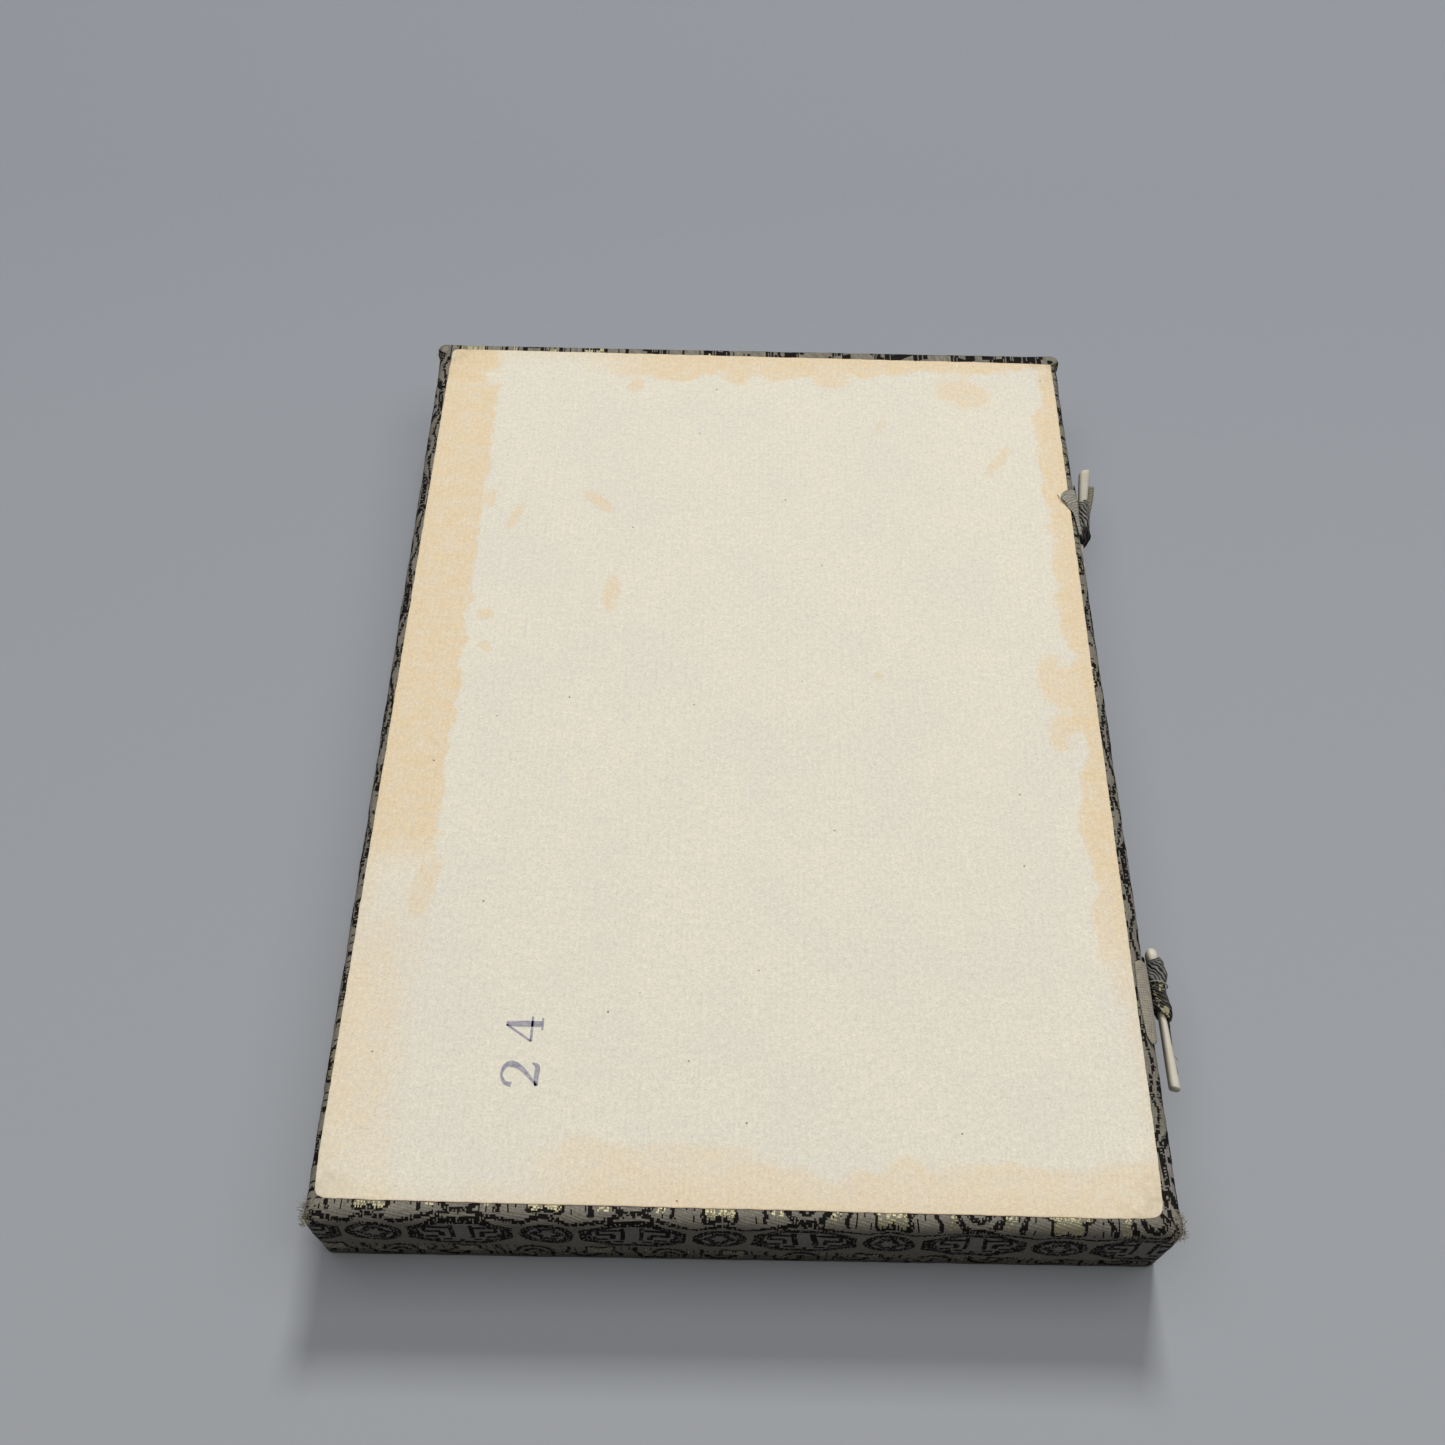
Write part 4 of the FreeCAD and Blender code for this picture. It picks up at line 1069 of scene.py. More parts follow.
# ---------------------------------------------------------------- linings
class BOX_OT_linings(bpy.types.Operator):
    """Builds the silk linings of the lid, the walls and the padded floor"""
    bl_idname = "box.linings"
    bl_label = "Linings"

    def execute(self, context):
        lining = context.scene.box_lining
        silk = satin("woven_satin_lining", lining.silk, lining.silk_shade)
        for node_name, body, crown, face_up in (("lid_lining", "lid", 0.0, True),
                                                ("floor_lining", "tray", lining.crown, False)):
            low, high = node_box(node_name)
            face, back = (high.z, low.z) if face_up else (low.z, high.z)
            toward = 1 if face_up else -1
            outline = Outline((0, 0), high.x, high.y, (1.2,) * 4, 2.4)
            lip = 0.45
            rise = [(inset, face - toward * (crown + 0.02) * (1 - smooth(0, 9, inset)))
                    for inset in (2, 5, 10, 18, 30, 46, high.x)]
            profile = [(high.x, back), (20, back), (0.2, back), (0.0, back + toward * 0.15),
                       (0.02, face - toward * (crown + lip)),
                       (0.2, face - toward * (crown + lip * 0.4)),
                       (0.6, face - toward * (crown + 0.08))] + rise

            def shape(point, inset, at):
                if abs(point.z - face) < 1.0 and inset > 0.5:
                    point.z -= toward * 0.05 * (1 + rough(point, 8.0, 4))
                return point

            def flat(side, point, inset, length):
                return (point.x, point.y)

            piece = new_piece(node_name + "_silk", swept(outline, profile, shape, flat), silk)
            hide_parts(node_name)
            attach(piece, body)

        low, high = node_box("wall_lining")
        outline = Outline((0, 0), high.x, high.y, (0.8,) * 4, 2.4)
        thick = 0.6
        profile = spaced([(0.02, low.z + 0.25), (0.02, high.z)], 3.0)
        profile += spaced([(thick, high.z), (thick, low.z + 0.3)], 1.6)
        profile += [(thick - 0.12, low.z + 0.06), (thick / 2, low.z), (0.14, low.z + 0.06),
                    (0.02, low.z + 0.25)]

        def wall_shape(point, inset, at):
            if inset > 0.4:
                point.xy += Vector(SIDES[outline.side_of(at)][1]) * 0.06 * rough(point, 7.0, 2)
            return point

        def wall_flat(side, point, inset, length):
            (dx, dy), _ = SIDES[side]
            return (dx * point.x + dy * point.y, point.z)

        grid = swept(outline, profile, wall_shape, wall_flat)
        piece = new_piece("wall_lining_silk", grid, silk)
        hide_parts("wall_lining")
        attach(piece, "tray")
        return {"FINISHED"}


# ---------------------------------------------------------------- hinge
class BOX_OT_hinge(bpy.types.Operator):
    """Builds the two cloth strips that hinge the tray to the lid"""
    bl_idname = "box.hinge"
    bl_label = "Cloth hinge"

    def execute(self, context):
        axis_z = frame_joint("tray_hinge")["pos_m"][2] / MM
        rows, columns = 22, 110
        low, high = node_box("hinge_cloth")
        levels = [low.z + (high.z - low.z) * k / rows for k in range(rows + 1)]
        along = [low.y + (high.y - low.y) * k / columns for k in range(columns + 1)]

        def outer(level, y):
            from_rim = min(level - low.z, high.z - level)
            dent = 0.14 * smooth(1.2, 0.0, abs(level - axis_z))
            x = low.x + 0.03 + 0.1 * smooth(0.9, 0.0, from_rim) + dent
            wave = 0.12 * rough((0, y, level), 9.0, 3) * smooth(0.5, 2.5, from_rim)
            return Vector((x + 0.02 * rough((0, y, level), 4.0, 2), y, level + wave))

        grid = sheet(levels, along, outer, lambda level, y: (y, -level))
        piece = new_piece("outer_hinge_strip", grid, cover_cloth())
        thicken(piece, 0.24, -1.0)
        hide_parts("hinge_cloth")
        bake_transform(piece)

        lining = context.scene.box_lining
        low, high = node_box("inner_hinge_strip")
        path = [(high.x, low.z + 0.1), (high.x - 2.4, low.z + 0.12), (high.x - 4.2, low.z + 0.2),
                (low.x + 2.1, low.z + 0.5), (low.x + 1.2, low.z + 1.0),
                (low.x + 0.55, low.z + 1.8), (low.x + 0.3, low.z + 3.0), (low.x + 0.25, high.z)]
        path = spaced(path, 0.5)
        along = [low.y + (high.y - low.y) * k / columns for k in range(columns + 1)]

        def inner(station, y):
            x, z, _ = station
            return Vector((x + 0.05 * rough((x, y, z), 5.0, 6), y,
                           z + 0.04 * rough((x, y, z), 4.0, 9)))

        stations = [(x, z, length) for (x, z), length in zip(path, lengths(path))]
        grid = sheet(stations, along, inner, lambda station, y: (station[2], y))
        piece = new_piece("inner_hinge_silk", grid,
                          satin("woven_satin_lining", lining.silk, lining.silk_shade))
        thicken(piece, 0.2, 0.0)
        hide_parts("inner_hinge_strip")
        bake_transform(piece)
        return {"FINISHED"}


# ---------------------------------------------------------------- clasps
def frame_joint(name):
    """A joint of the frame by its name."""
    return next(joint for joint in frame["joints"] if joint["name"] == name)


# How far the pins lie from their true places, at the head and at the tip, in mm. The far pin
# hangs by its head, close to the wall.
LEANING = {"near": ((-0.35, 0.0, 0.0), (-0.35, -0.9, 0.0)),
           "far": ((-0.75, 1.2, -8.0), (0.1, -2.9, 1.5))}


def pin_axis(side):
    """A pin's head end, tip end and unit way from head to tip, in mm, as it lies."""
    low, high = node_box(side + "_bone_pin")
    way = Vector(frame_joint(side + "_pin_slide")["axis"]).normalized()
    length = (high.y - low.y) / abs(way.y)
    middle = (low + high) / 2
    at_head, at_tip = (Vector(shift) for shift in LEANING[side])
    head, tip = middle + way * length / 2 + at_head, middle - way * length / 2 + at_tip
    return head, tip, (tip - head).normalized()


def on_pin(side, y):
    """The point of a pin's axis at a place y along the wall, in mm."""
    head, tip, _ = pin_axis(side)
    return head + (tip - head) * (y - head.y) / (tip.y - head.y)


class BOX_OT_pins(bpy.types.Operator):
    """Builds the two sawn bone pins with their slots"""
    bl_idname = "box.pins"
    bl_label = "Bone pins"

    def execute(self, context):
        bone = sawn_bone()
        # Share of the length, half width across the wall, half height.
        outline = [(0.0, 0.30, 0.5), (0.01, 0.72, 1.0), (0.03, 1.08, 1.4), (0.06, 1.2, 1.6),
                   (0.085, 1.1, 1.5), (0.11, 0.75, 1.25), (0.16, 0.62, 1.15),
                   (0.3, 0.62, 1.15), (0.45, 0.66, 1.2), (0.6, 0.76, 1.25), (0.8, 0.92, 1.3),
                   (0.95, 1.02, 1.3), (0.99, 1.03, 1.28), (1.0, 0.95, 1.2)]
        # Sides of a section, how square it is (1 is round), and the slant of the sawn end.
        sides, square, slant = 28, 0.72, 0.28
        up = Vector((0, 0, 1))
        turns = [2 * math.pi * k / sides for k in range(sides + 1)]
        for side, thick in (("near", 0.95), ("far", 1.25)):
            node_name, body = side + "_bone_pin", side + "_pin"
            head, tip, way = pin_axis(side)
            length = (tip - head).length
            across = up.cross(way).normalized()
            if across.x < 0:
                across = -across
            dense = []
            for (s0, w0, h0), (s1, w1, h1) in zip(outline, outline[1:]):
                steps = max(1, round((s1 - s0) * length / 0.8))
                dense += [(s0 + (s1 - s0) * k / steps, w0 + (w1 - w0) * k / steps,
                           h0 + (h1 - h0) * k / steps) for k in range(steps)]
            grid = bmesh.new()
            sections, places = [], []
            for share, wide, high in dense + [outline[-1]]:
                ring = []
                for turn in turns[:-1]:
                    c, s = math.cos(turn), math.sin(turn)
                    ring.append(head + way * length * share
                                + across * wide * thick * math.copysign(abs(c) ** square, c)
                                + up * high * math.copysign(abs(s) ** square, s))
                sections.append(ring)
                places.append([(turn * wide, length * share) for turn in turns])
            rows = patch(grid, sections, places, cyclic=True)
            grid.faces.new(rows[0])
            grid.faces.new(list(reversed(rows[-1])))
            # A saw never leaves quite a square end.
            for vertex in rows[-1] + rows[-2]:
                vertex.co += way * slant * (vertex.co - tip).dot(across)
            piece = new_piece(node_name + "_carved", grid, bone)
            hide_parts(node_name)
            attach(piece, body)
        return {"FINISHED"}


def in_table(table, share):
    """Values read between the rows of a table whose first column is the share."""
    for (s0, *low), (s1, *high) in zip(table, table[1:]):
        if share <= s1:
            mix = smooth(s0, s1, share)
            return [a + (b - a) * mix for a, b in zip(low, high)]
    return list(table[-1][1:])


def wound(grid, side, y_span, table, thick, folds, seed, skew):
    """Cloth wound round a pin: an oval tube with slanting folds and rolled rims. table gives
    share of the way, half width, half height, shift across and shift up; skew slants the two
    rims."""
    points, places = [], []
    across, around = 30, 52
    steps = list(range(across + 1))
    # The outer face runs one way and the inner face back again.
    for outer, order in ((True, steps), (False, steps[::-1])):
        closest = TRAY_HIGH.x + 0.16 + (0.0 if outer else 0.3 * thick)
        for i in order:
            t = i / across
            wide, high, shift_x, shift_z = in_table(table, t)
            y = y_span[0] + (y_span[1] - y_span[0]) * t
            middle = on_pin(side, y) + Vector((shift_x, 0, shift_z))
            roll = 1 - abs(2 * t - 1) ** 5
            tilt = skew[0] * (1 - t) + skew[1] * t
            row = []
            for k in range(around):
                turn = 2 * math.pi * k / around
                ridge = math.sin(folds * turn + 6.5 * t + seed)
                crease = 0.2 * ridge * abs(ridge) + 0.14 * rough((3 * t, turn, seed), 0.5, seed)
                swell = (crease + 0.16) * roll - 0.12 if outer else -thick
                row.append(Vector((max(middle.x + (wide + swell) * math.cos(turn), closest),
                                   y + tilt * math.cos(turn) + 0.18 * math.sin(turn * 2 + seed),
                                   middle.z + (high + swell) * math.sin(turn))))
            points.append(row)
            places.append([(math.pi * (wide + high) * k / around + seed * 7, y + seed * 5)
                           for k in range(around + 1)])
    patch(grid, points + points[:1], places + places[:1], cyclic=True)


def draped(lines, steps):
    """A piece of cloth drawn through lines of points, smooth both ways and a little crumpled."""
    crumple, seed = 0.05, 3.0
    along = [curve_points(line, steps) for line in lines]
    points, places = [], []
    for column in zip(*along):
        row = [Vector(p) + Vector((0, 0, crumple * rough(p, 1.3, seed)))
               for p in curve_points(list(column), steps)]
        points.append(row)
        places.append([(length + seed * 3, p.y) for length, p in zip(lengths(row), row)])
    grid = bmesh.new()
    patch(grid, points, places)
    return grid


def ribbon(grid, path, y_span, thick, seed):
    """A flat ribbon along an XZ path, doubled over, with rolled edges and small puckers."""
    path = spaced(path, 0.45)
    run = lengths(path)
    points, places = [], []
    columns = list(range(11))
    for face, order in ((1, columns), (-1, columns[::-1])):
        for column in order:
            t = column / columns[-1]
            y = y_span[0] + (y_span[1] - y_span[0]) * t
            roll = 0.35 + 0.65 * (1 - abs(2 * t - 1) ** 4)
            row = []
            for at, ((x, z), length) in enumerate(zip(path, run)):
                before, after = path[max(at - 1, 0)], path[min(at + 1, len(path) - 1)]
                normal = Vector((before[1] - after[1], 0, after[0] - before[0])).normalized()
                bump = 0.07 * rough((length, t * 4, seed), 1.1, seed)
                row.append(Vector((x, y, z)) + normal * (face * thick / 2 * roll + bump))
            points.append(row)
            places.append([(y + seed * 3, length + seed * 4) for length in run])
    patch(grid, points + points[:1], places + places[:1])


def clasp_band(name, side, row, lane, breadth, bulk):
    """A strap or loop: cloth wound round its pin, and the ribbon that carries it on the wall.
    row is as in the tables below; lane is the ribbon's path, breadth its span along the wall
    and bulk its share of the full thickness."""
    rims, table, folds, seed, skew, floats, flecked, slant, gauge = row
    clasp = bpy.context.scene.box_clasp
    grid = bmesh.new()
    wound(grid, side, rims, table, clasp.ribbon, folds, seed, skew)
    ribbon(grid, lane, breadth, clasp.ribbon * bulk, seed)
    bmesh.ops.remove_doubles(grid, verts=grid.verts, dist=1e-5)
    cloth = reverse_cloth(name.replace("_pin_", "_folded_silk_"), linear(floats), clasp.folds,
                          flecked, slant, gauge)
    return new_piece(name, grid, cloth)


# Each strap and loop: its rims along the pin, the shape table that wound() reads, folds, seed,
# slant of the rims, colour of the floats, share of gold flecks, slant of the floats in degrees
# and their gauge in mm.
STRAPS = {
    "near": ((-51.7, -57.1), ((0.0, 1.4, 1.7, 0.25, 0.0), (0.2, 1.85, 2.1, 0.3, 0.0),
                              (0.6, 1.95, 2.3, 0.3, 0.0), (1.0, 1.85, 2.2, 0.2, 0.0)),
             3, 1.3, (0.35, 0.35), "#85837e", 0.0, 35.0, 0.75),
    "far": ((61.6, 57.4), ((0.0, 1.8, 2.4, 0.1, -0.1), (0.35, 1.9, 2.3, 0.2, 0.2),
                           (0.7, 1.4, 1.9, 0.2, 0.3), (1.0, 1.0, 1.2, 0.0, 0.0)),
            3, 4.1, (-0.4, 0.2), "#4b4946", 0.0, 35.0, 0.8),
}
LOOPS = {
    "near": ((-57.3, -63.6), ((0.0, 1.6, 2.1, 0.1, 0.0), (0.25, 1.6, 2.2, 0.1, 0.0),
                              (0.8, 1.75, 2.3, 0.2, 0.0), (1.0, 1.6, 2.1, 0.25, 0.0)),
             2, 2.2, (0.35, -0.85), "#5a5852", 0.45, 62.0, 0.75),
    "far": ((68.0, 60.4), ((0.0, 1.4, 1.6, 0.0, 0.0), (0.2, 1.65, 2.0, 0.1, 0.0),
                           (0.7, 1.85, 2.4, 0.1, 0.0), (1.0, 1.85, 2.4, 0.1, 0.0)),
            3, 0.6, (0.3, -0.5), "#97958c", 0.0, 38.0, 0.85),
}


class BOX_OT_straps(bpy.types.Operator):
    """Builds the straps that hold the pins to the lid"""
    bl_idname = "box.straps"
    bl_label = "Pin straps"

    def execute(self, context):
        for side, row in STRAPS.items():
            low, high = node_box(side + "_strap")
            middle_y = (low.y + high.y) / 2
            pin = on_pin(side, middle_y)
            wall, back = low.x, max(pin.x - 1.9, low.x + 1.3)
            lane = [(wall + 0.4, low.z + 0.15), (wall + 0.42, low.z + 2.4),
                    (wall + 0.7, min(low.z + 6.2, pin.z - 4.2)), (back, pin.z - 3.2),
                    (back, pin.z - 1.2), (back + 0.15, pin.z + 0.2)]
            # The far ribbon stays under its wound cloth, which sits nearer the loop.
            shift = max(0.0, row[0][1] + 2.0 - middle_y) if side == "far" else 0.0
            piece = clasp_band(side + "_pin_strap", side, row, lane,
                               (low.y + shift, high.y + shift), 0.8)
            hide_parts(side + "_strap")
            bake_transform(piece)
        return {"FINISHED"}


class BOX_OT_loops(bpy.types.Operator):
    """Builds the loops on the tray that the pins pass through"""
    bl_idname = "box.loops"
    bl_label = "Pin loops"

    def execute(self, context):
        wall, border = TRAY_HIGH.x, TRAY_HIGH.z
        for side, row in LOOPS.items():
            low, high = node_box(side + "_loop")
            pin = on_pin(side, (low.y + high.y) / 2)
            lane = [(wall + 0.2, border - 2.2), (wall + 0.34, border - 3.4),
                    (wall + 0.36, pin.z + 2.2), (wall + 0.5, pin.z + 0.8),
                    (wall + 0.8, pin.z + 0.1)]
            piece = clasp_band(side + "_pin_loop", side, row, lane,
                               (low.y + 0.3, high.y - 0.3), 0.7)
            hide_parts(side + "_loop")
            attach(piece, "tray")

        # The loops' ends lie on the border: the near one is pasted flat, the far one has come
        # loose and its torn corner lies over the paper.
        flat, paper = border + 0.12, PAPER_HIGH.z + 0.12
        low_edge = border - 1.6
        near = [[(74.9, -55.6, paper), (74.7, -60.5, paper), (74.9, -66.0, paper),
                 (75.2, -70.4, paper)],
                [(75.9, -55.2, flat), (76.0, -60.5, flat), (76.0, -66.0, flat),
                 (76.1, -72.0, flat)],
                [(77.2, -55.6, low_edge + 0.9), (77.3, -60.5, low_edge + 1.0),
                 (77.3, -66.0, low_edge + 1.0), (77.2, -71.1, low_edge + 0.9)],
                [(77.75, -56.0, low_edge - 1.2), (77.8, -60.0, low_edge - 1.2),
                 (77.8, -64.0, low_edge - 1.2), (77.75, -67.9, low_edge - 1.0)]]
        far = [[(74.4, 63.4, paper + 0.1), (73.3, 61.5, paper + 0.35), (74.6, 58.6, paper + 0.1),
                (75.8, 56.4, paper), (76.4, 50.6, flat)],
               [(75.5, 63.8, paper + 0.1), (75.3, 61.4, paper + 0.25), (75.7, 58.6, paper + 0.1),
                (76.2, 56.2, flat), (76.7, 50.4, flat)],
               [(76.7, 63.9, flat), (76.9, 61.4, flat), (76.9, 58.8, flat), (76.8, 56.0, flat),
                (77.0, 50.4, flat - 0.1)],
               [(77.4, 64.4, low_edge), (77.6, 61.9, low_edge), (77.6, 59.6, low_edge),
                (77.4, 56.6, low_edge), (77.3, 51.0, low_edge + 0.8)],
               [(77.9, 66.0, border - 4.6), (78.0, 64.4, border - 4.8), (78.0, 62.6, border - 4.8),
                (77.9, 60.6, border - 4.6), (77.6, 57.0, border - 3.8)]]
        tabs = (("near", near, 9, scrim_cloth()),
                ("far", far, 7, reverse_cloth("far_torn_silk_tab", linear("#aaa698"),
                                              linear("#77736a"), 0.0, 65.0)))
        for side, lines, steps, cloth in tabs:
            piece = new_piece(side + "_loop_tab", draped(lines, steps), cloth)
            thicken(piece, 0.16, 0.0)
            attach(piece, "tray")

        # Loose ends: a cord that binds the near loop, its frayed tail beside the pin, and the far
        # loop's rolled end. The near tail is the same cloth as the far rolled end, and its dark
        # tones are painted shade.
        head = pin_axis("near")[0]
        turns = [math.radians(angle) for angle in range(20, 181, 16)]
        cord = [(head.x + 0.3 - 1.95 * math.cos(turn), -57.1 + 0.4 * math.cos(turn),
                 head.z + 2.45 * math.sin(turn)) for turn in turns]
        yarn = spun_yarn("pale_binding_cord", linear("#b5af9c"), linear("#7b776a"))
        # The near tail's dark grey tones are painted shade, for the shadow below the pin.
        tail_cloth_painted_shade = reverse_cloth("silk_tail_painted_shade", linear("#5f5d59"), linear("#2a2927"), 0.0,
                                   8.0)
        olive = reverse_cloth("rolled_silk_end", linear("#a09c86"), linear("#6d6a58"), 0.0, 70.0)
        _, far_tip, far_way = pin_axis("far")
        beside = Vector((1.75, 0, 0.1))
        rolled = [far_tip - far_way * back + beside * out for back, out in
                  ((11.5, 0.75), (9.0, 0.85), (6.5, 1.0), (4.5, 1.05), (3.6, 1.08))]
        ends = (("near_binding_cord", cord, 0.15, yarn),
                ("near_loose_tail", [(82.0, -62.6, 15.0), (82.3, -65.5, 14.2),
                                     (82.45, -69.0, 13.6), (82.7, -72.0, 13.4),
                                     (82.9, -74.4, 13.5)], (0.5, 0.42, 0.34, 0.3, 0.12),
                 tail_cloth_painted_shade),
                # A pale yarn tip on the dark tail: a painted highlight.
                ("near_tail_tip", [(82.75, -70.9, 14.3), (83.05, -71.5, 14.6),
                                   (83.2, -71.9, 14.5)], (0.12, 0.16, 0.08), yarn),
                ("far_rolled_end", rolled, (0.6, 0.7, 0.72, 0.7, 0.6), olive),
                ("far_loose_thread", [(72.6, 62.4, paper), (73.1, 60.9, paper + 0.3),
                                      (73.9, 60.2, paper + 0.5), (74.6, 59.2, paper + 0.3)],
                 (0.07, 0.07, 0.07, 0.06), yarn))
        for name, path, radii, cloth in ends:
            if path is not cord:
                steps = 6
                path = curve_points([tuple(point) for point in path], steps)
                radii = [radii[min(k // steps, len(radii) - 1)] for k in range(len(path))]
            grid = bmesh.new()
            tube(grid, path, radii, sides=9)
            piece = new_piece(name, grid, cloth)
            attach(piece, "tray")
        return {"FINISHED"}


# ---------------------------------------------------------------- frayed yarn
def tuft(grid, draw, centre, way, count, length, spread):
    """A tuft of pulled yarn ends that start round centre and lean the way they were rubbed."""
    for _ in range(count):
        start = Vector(centre) + Vector((draw.uniform(-1, 1) * spread[0],
                                         draw.uniform(-1, 1) * spread[1],
                                         draw.uniform(-1, 1) * spread[2]))
        heading = Vector(way) + Vector((draw.gauss(0, 0.6), draw.gauss(0, 0.6),
                                        draw.gauss(0, 0.45)))
        heading.normalize()
        curl = Vector((draw.gauss(0, 0.5), draw.gauss(0, 0.5), draw.gauss(0, 0.4)))
        reach = length * draw.uniform(0.35, 1.0)
        path = [start + heading * reach * t + curl * reach * t * t * 0.5
                for t in (0.0, 0.25, 0.5, 0.75, 1.0)]
        tube(grid, path, draw.uniform(0.035, 0.06), sides=4)


class BOX_OT_frays(bpy.types.Operator):
    """Builds the frayed yarn at the corners and the loose threads"""
    bl_idname = "box.frays"
    bl_label = "Frayed yarn"

    def execute(self, context):
        draw = random.Random(17)
        x, y, z = TRAY_HIGH
        # Centre, lean, number of ends, their length, the tuft's half sizes, light and dark.
        tufts = {
            "near_left": ((-x + 0.9, -y + 1.6, z - 0.7), (-0.3, -0.2, 0.25), 150, 0.9,
                          (0.9, 2.2, 0.5), "#a39a7c", "#5b5545"),
            "near_right": ((x - 1.2, -y + 1.8, z - 0.7), (0.3, -0.15, 0.3), 170, 1.0,
                           (1.0, 2.3, 0.5), "#aaa18a", "#625a49"),
            "far_left": ((-x + 1.2, y - 1.2, z - 0.5), (-0.3, 0.2, 0.3), 70, 0.8,
                         (1.0, 1.2, 0.4), "#a39a80", "#57513f"),
            "far_right": ((x - 1.1, y - 1.0, z - 0.6), (0.3, 0.2, 0.2), 45, 0.7,
                          (0.8, 0.8, 0.4), "#8b8677", "#45413a"),
        }
        for name, (*form, light, dark) in tufts.items():
            grid = bmesh.new()
            tuft(grid, draw, *form)
            yarn = spun_yarn(name + "_pulled_yarn", linear(light), linear(dark))
            piece = new_piece(name + "_frayed_corner", grid, yarn, turned=False)
            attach(piece, "tray")
        return {"FINISHED"}


# ---------------------------------------------------------------- boards
class BOX_OT_boards(bpy.types.Operator):
    """Gives the boards, the card and the wadding their finishes"""
    bl_idname = "box.boards"
    bl_label = "Boards and wadding"

    def execute(self, context):
        lining = context.scene.box_lining
        board = pulp("pressed_greyboard", lining.board, linear("#7b766c"), 1.0)
        card = pulp("pulp_infill_card", linear("#b3a78c"), linear("#8d8268"), 0.8)
        cotton = pulp("carded_cotton_wadding", lining.wadding, linear("#cfc8b6"), 2.5)
        finishes = {"lid_wadding": cotton, "base_infill_card": card, "floor_pad": cotton}

        # The base board's upper edges are rubbed round, so its cloth turns over them softly.
        low, high = node_box("base_board")
        soft = max(context.scene.box_brocade.edge_radius - 0.5, 0.3)
        outline = Outline((0, 0), high.x, high.y, (1.0,) * 4, 4.0)
        profile = [(high.x, low.z), (0.0, low.z)] + arc((soft, high.z - soft), soft, 0, 90, 8)
        grid = swept(outline, profile + [(high.x, high.z)],
                     lambda point, inset, at: point,
                     lambda side, point, inset, length: (point.x, point.y))
        piece = new_piece("rounded_base_board", grid, board)
        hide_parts("base_board")
        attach(piece, "tray")
        for name, thing in frame["nodes"].items():
            if thing.hide_render:
                continue
            thing.data.materials.clear()
            thing.data.materials.append(finishes.get(name, board))
        return {"FINISHED"}


# ---------------------------------------------------------------- stage
# The camera's place in mm and its turn in degrees, and half the width of the floor in mm.
CAMERA_PLACE, CAMERA_TURN = (-6.523, -172.812, 290.422), (32.4786, -0.7893, 0.7677)
FLOOR_REACH = 3000


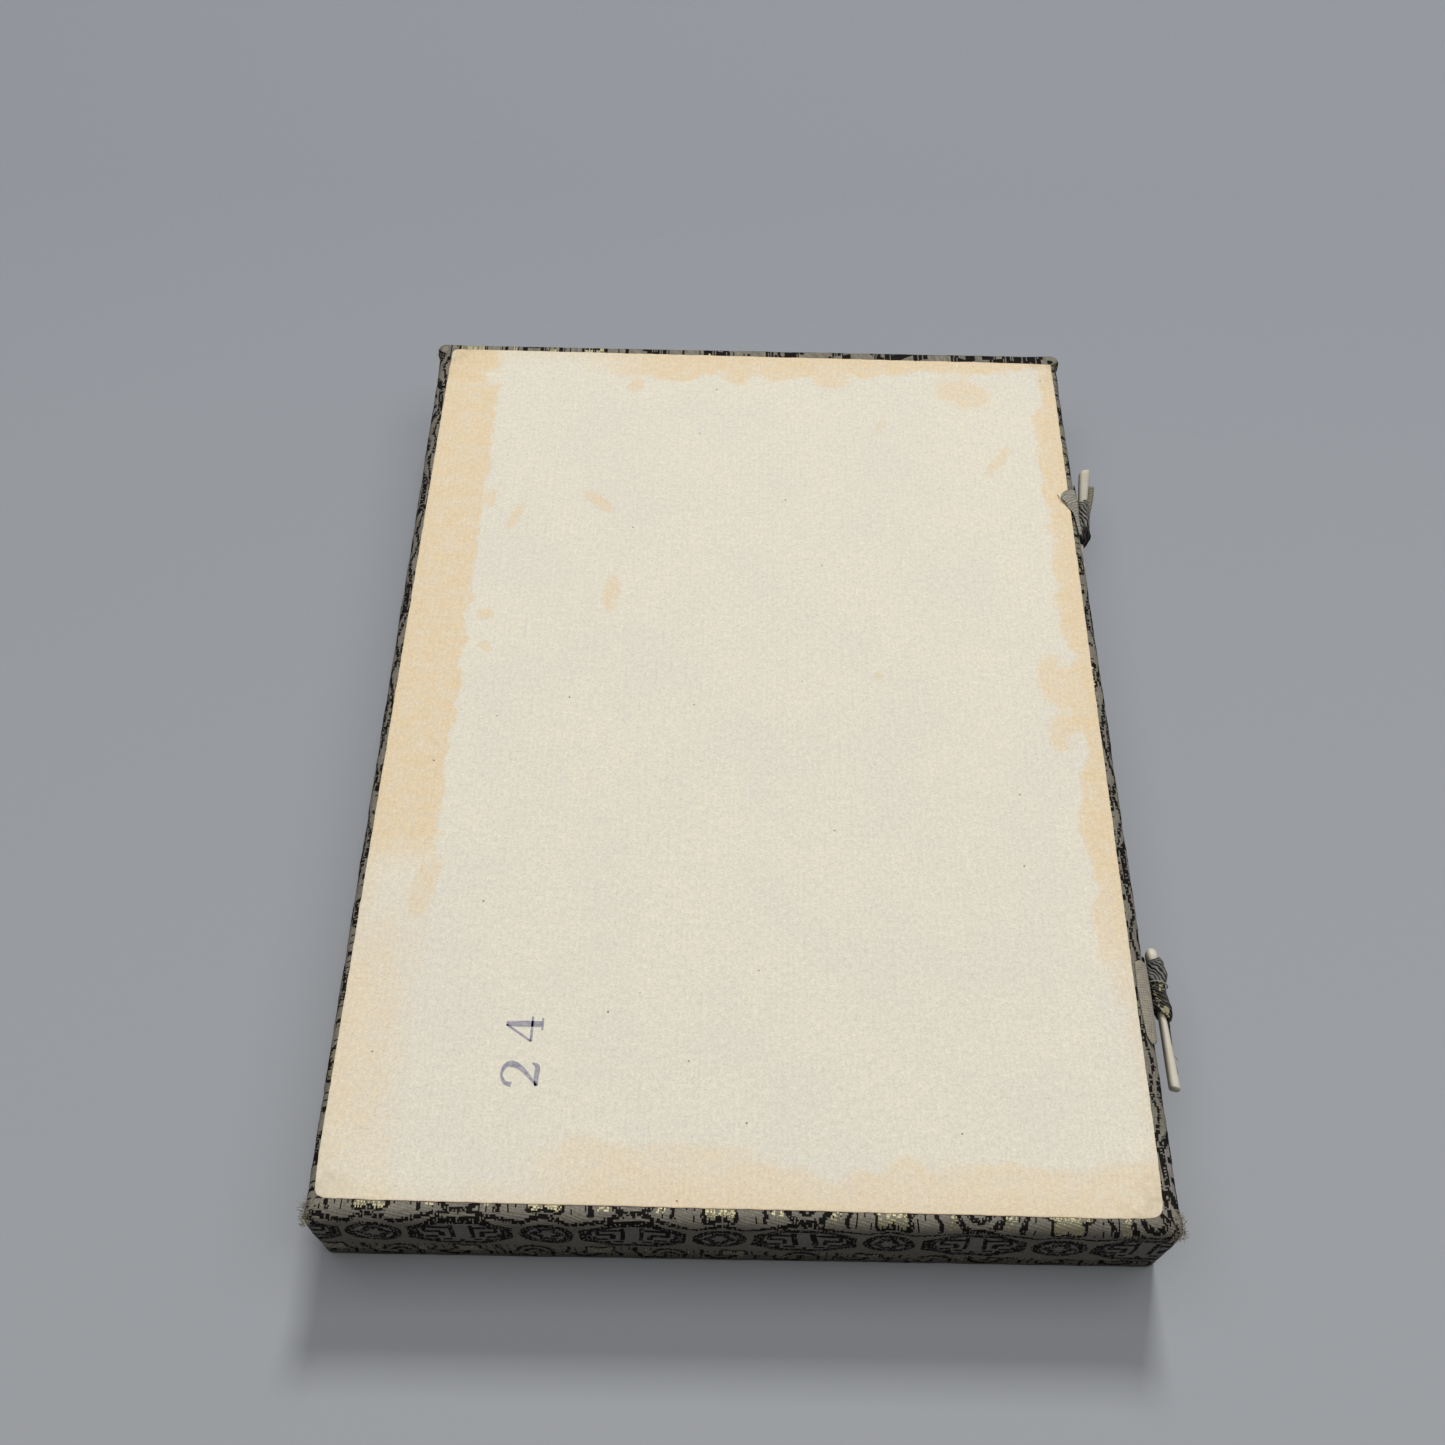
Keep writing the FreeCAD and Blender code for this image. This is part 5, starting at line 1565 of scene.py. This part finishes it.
class BOX_OT_stage(bpy.types.Operator):
    """Builds the floor, the lamps and the camera"""
    bl_idname = "box.stage"
    bl_label = "Stage"

    def execute(self, context):
        stage = context.scene.box_stage
        material, add, shader = new_material("matt_grey_card")
        place = add("TexCoord", output=3)
        tooth = add("TexNoise", {"Vector": place, "Scale": 700.0, "Detail": 4.0})
        dull = add("MapRange", (tooth, 0.3, 0.7, 0.0, 0.06))
        tone = add("Mix RGBA", {0: dull, 6: stage.floor, 7: linear("#777a80")}, 2)
        # Painted light: the card is painted a little paler toward the viewer, as if more light
        # fell there.
        flat = add("SeparateXYZ", (place,), output=None)
        near = add("MapRange", (flat.outputs[1], 0.2, -0.3, 0.0, 1.0))
        tone = add("Mix RGBA", {0: near, 6: tone, 7: linear("#a8aaad")}, 2)
        plug(shader, tone, add("MapRange", (tooth, 0.0, 1.0, 0.95, 0.85)))
        shader.inputs["Specular IOR Level"].default_value = 0.2

        grid = bmesh.new()
        marks = (-FLOOR_REACH, -600, 0, 600, FLOOR_REACH)
        rows = [[Vector((x, y, -0.02)) for x in marks] for y in marks]
        places = [[(p.x, p.y) for p in row] for row in rows]
        patch(grid, rows, places)
        floor = new_piece("seamless_floor", grid, material, turned=False)

        world = bpy.data.worlds.new("even_light")
        context.scene.world = world
        world.use_nodes = True
        backing = world.node_tree.nodes["Background"]
        backing.inputs["Color"].default_value = linear("#f3f6fb")
        # The camera sees a pale backdrop; the even light that falls on the box is far weaker.
        seen = node(world.node_tree, "LightPath")
        strength = node(world.node_tree, "Math MULTIPLY_ADD", (seen, 0.4, stage.sky))
        world.node_tree.links.new(strength, backing.inputs["Strength"])

        lamps = (("overhead_softbox", (0.15, 0.03, 1.2), (0.15, 0.03, 0.0), 2.0, 1.0,
                  stage.lamp_power),
                 ("back_lamp", (0.35, 2.35, 2.6), (0.0, 0.0, 0.0), 0.72, 0.72,
                  stage.key_power))
        for name, place, target, wide, deep, power in lamps:
            light = bpy.data.lights.new(name, "AREA")
            light.shape = "RECTANGLE"
            light.size, light.size_y = wide, deep
            light.energy = power
            lamp = bpy.data.objects.new(name, light)
            lamp.location = place
            aim = Vector(target) - Vector(place)
            lamp.rotation_euler = aim.to_track_quat("-Z", "Y").to_euler()
            context.scene.collection.objects.link(lamp)

        lens = bpy.data.cameras.new("box_camera")
        lens.lens, lens.sensor_width = stage.lens, 36.0
        lens.clip_start, lens.clip_end = 0.01, 20.0
        camera = bpy.data.objects.new("box_camera", lens)
        camera.location = Vector(CAMERA_PLACE) * MM
        camera.rotation_euler = Euler([math.radians(angle) for angle in CAMERA_TURN])
        context.scene.collection.objects.link(camera)
        context.scene.camera = camera
        context.scene.view_settings.view_transform = "Standard"
        return {"FINISHED"}


# ---------------------------------------------------------------- panel and start
PIECES = (BOX_OT_stage, BOX_OT_tray_cover, BOX_OT_lid_cover, BOX_OT_paper, BOX_OT_linings,
          BOX_OT_hinge, BOX_OT_pins, BOX_OT_straps, BOX_OT_loops, BOX_OT_frays, BOX_OT_boards)
SETTINGS = {"box_brocade": BrocadeSettings, "box_paper": PaperSettings,
            "box_clasp": ClaspSettings, "box_lining": LiningSettings, "box_stage": StageSettings}


class BOX_PT_panel(bpy.types.Panel):
    """Lists the box's pieces and their settings"""
    bl_idname = "BOX_PT_panel"
    bl_label = "Brocade box"
    bl_space_type = "VIEW_3D"
    bl_region_type = "UI"
    bl_category = "Box"

    def draw(self, context):
        for operator in PIECES:
            self.layout.operator(operator.bl_idname)
        for name, group in SETTINGS.items():
            held = getattr(context.scene, name)
            box = self.layout.box()
            box.label(text=group.__doc__)
            for setting in group.__annotations__:
                box.prop(held, setting)


def register():
    """Makes the settings, operators and panel known to Blender."""
    for name, group in SETTINGS.items():
        bpy.utils.register_class(group)
        setattr(bpy.types.Scene, name, PointerProperty(type=group))
    for operator in PIECES + (BOX_PT_panel,):
        bpy.utils.register_class(operator)


def unregister():
    """Takes them away again."""
    for operator in reversed(PIECES + (BOX_PT_panel,)):
        bpy.utils.unregister_class(operator)
    for name, group in SETTINGS.items():
        delattr(bpy.types.Scene, name)
        bpy.utils.unregister_class(group)


def main():
    """Builds the whole box."""
    register()
    for operator in PIECES:
        family, name = operator.bl_idname.split(".")
        getattr(getattr(bpy.ops, family), name)()


if __name__ == "__main__":
    main()
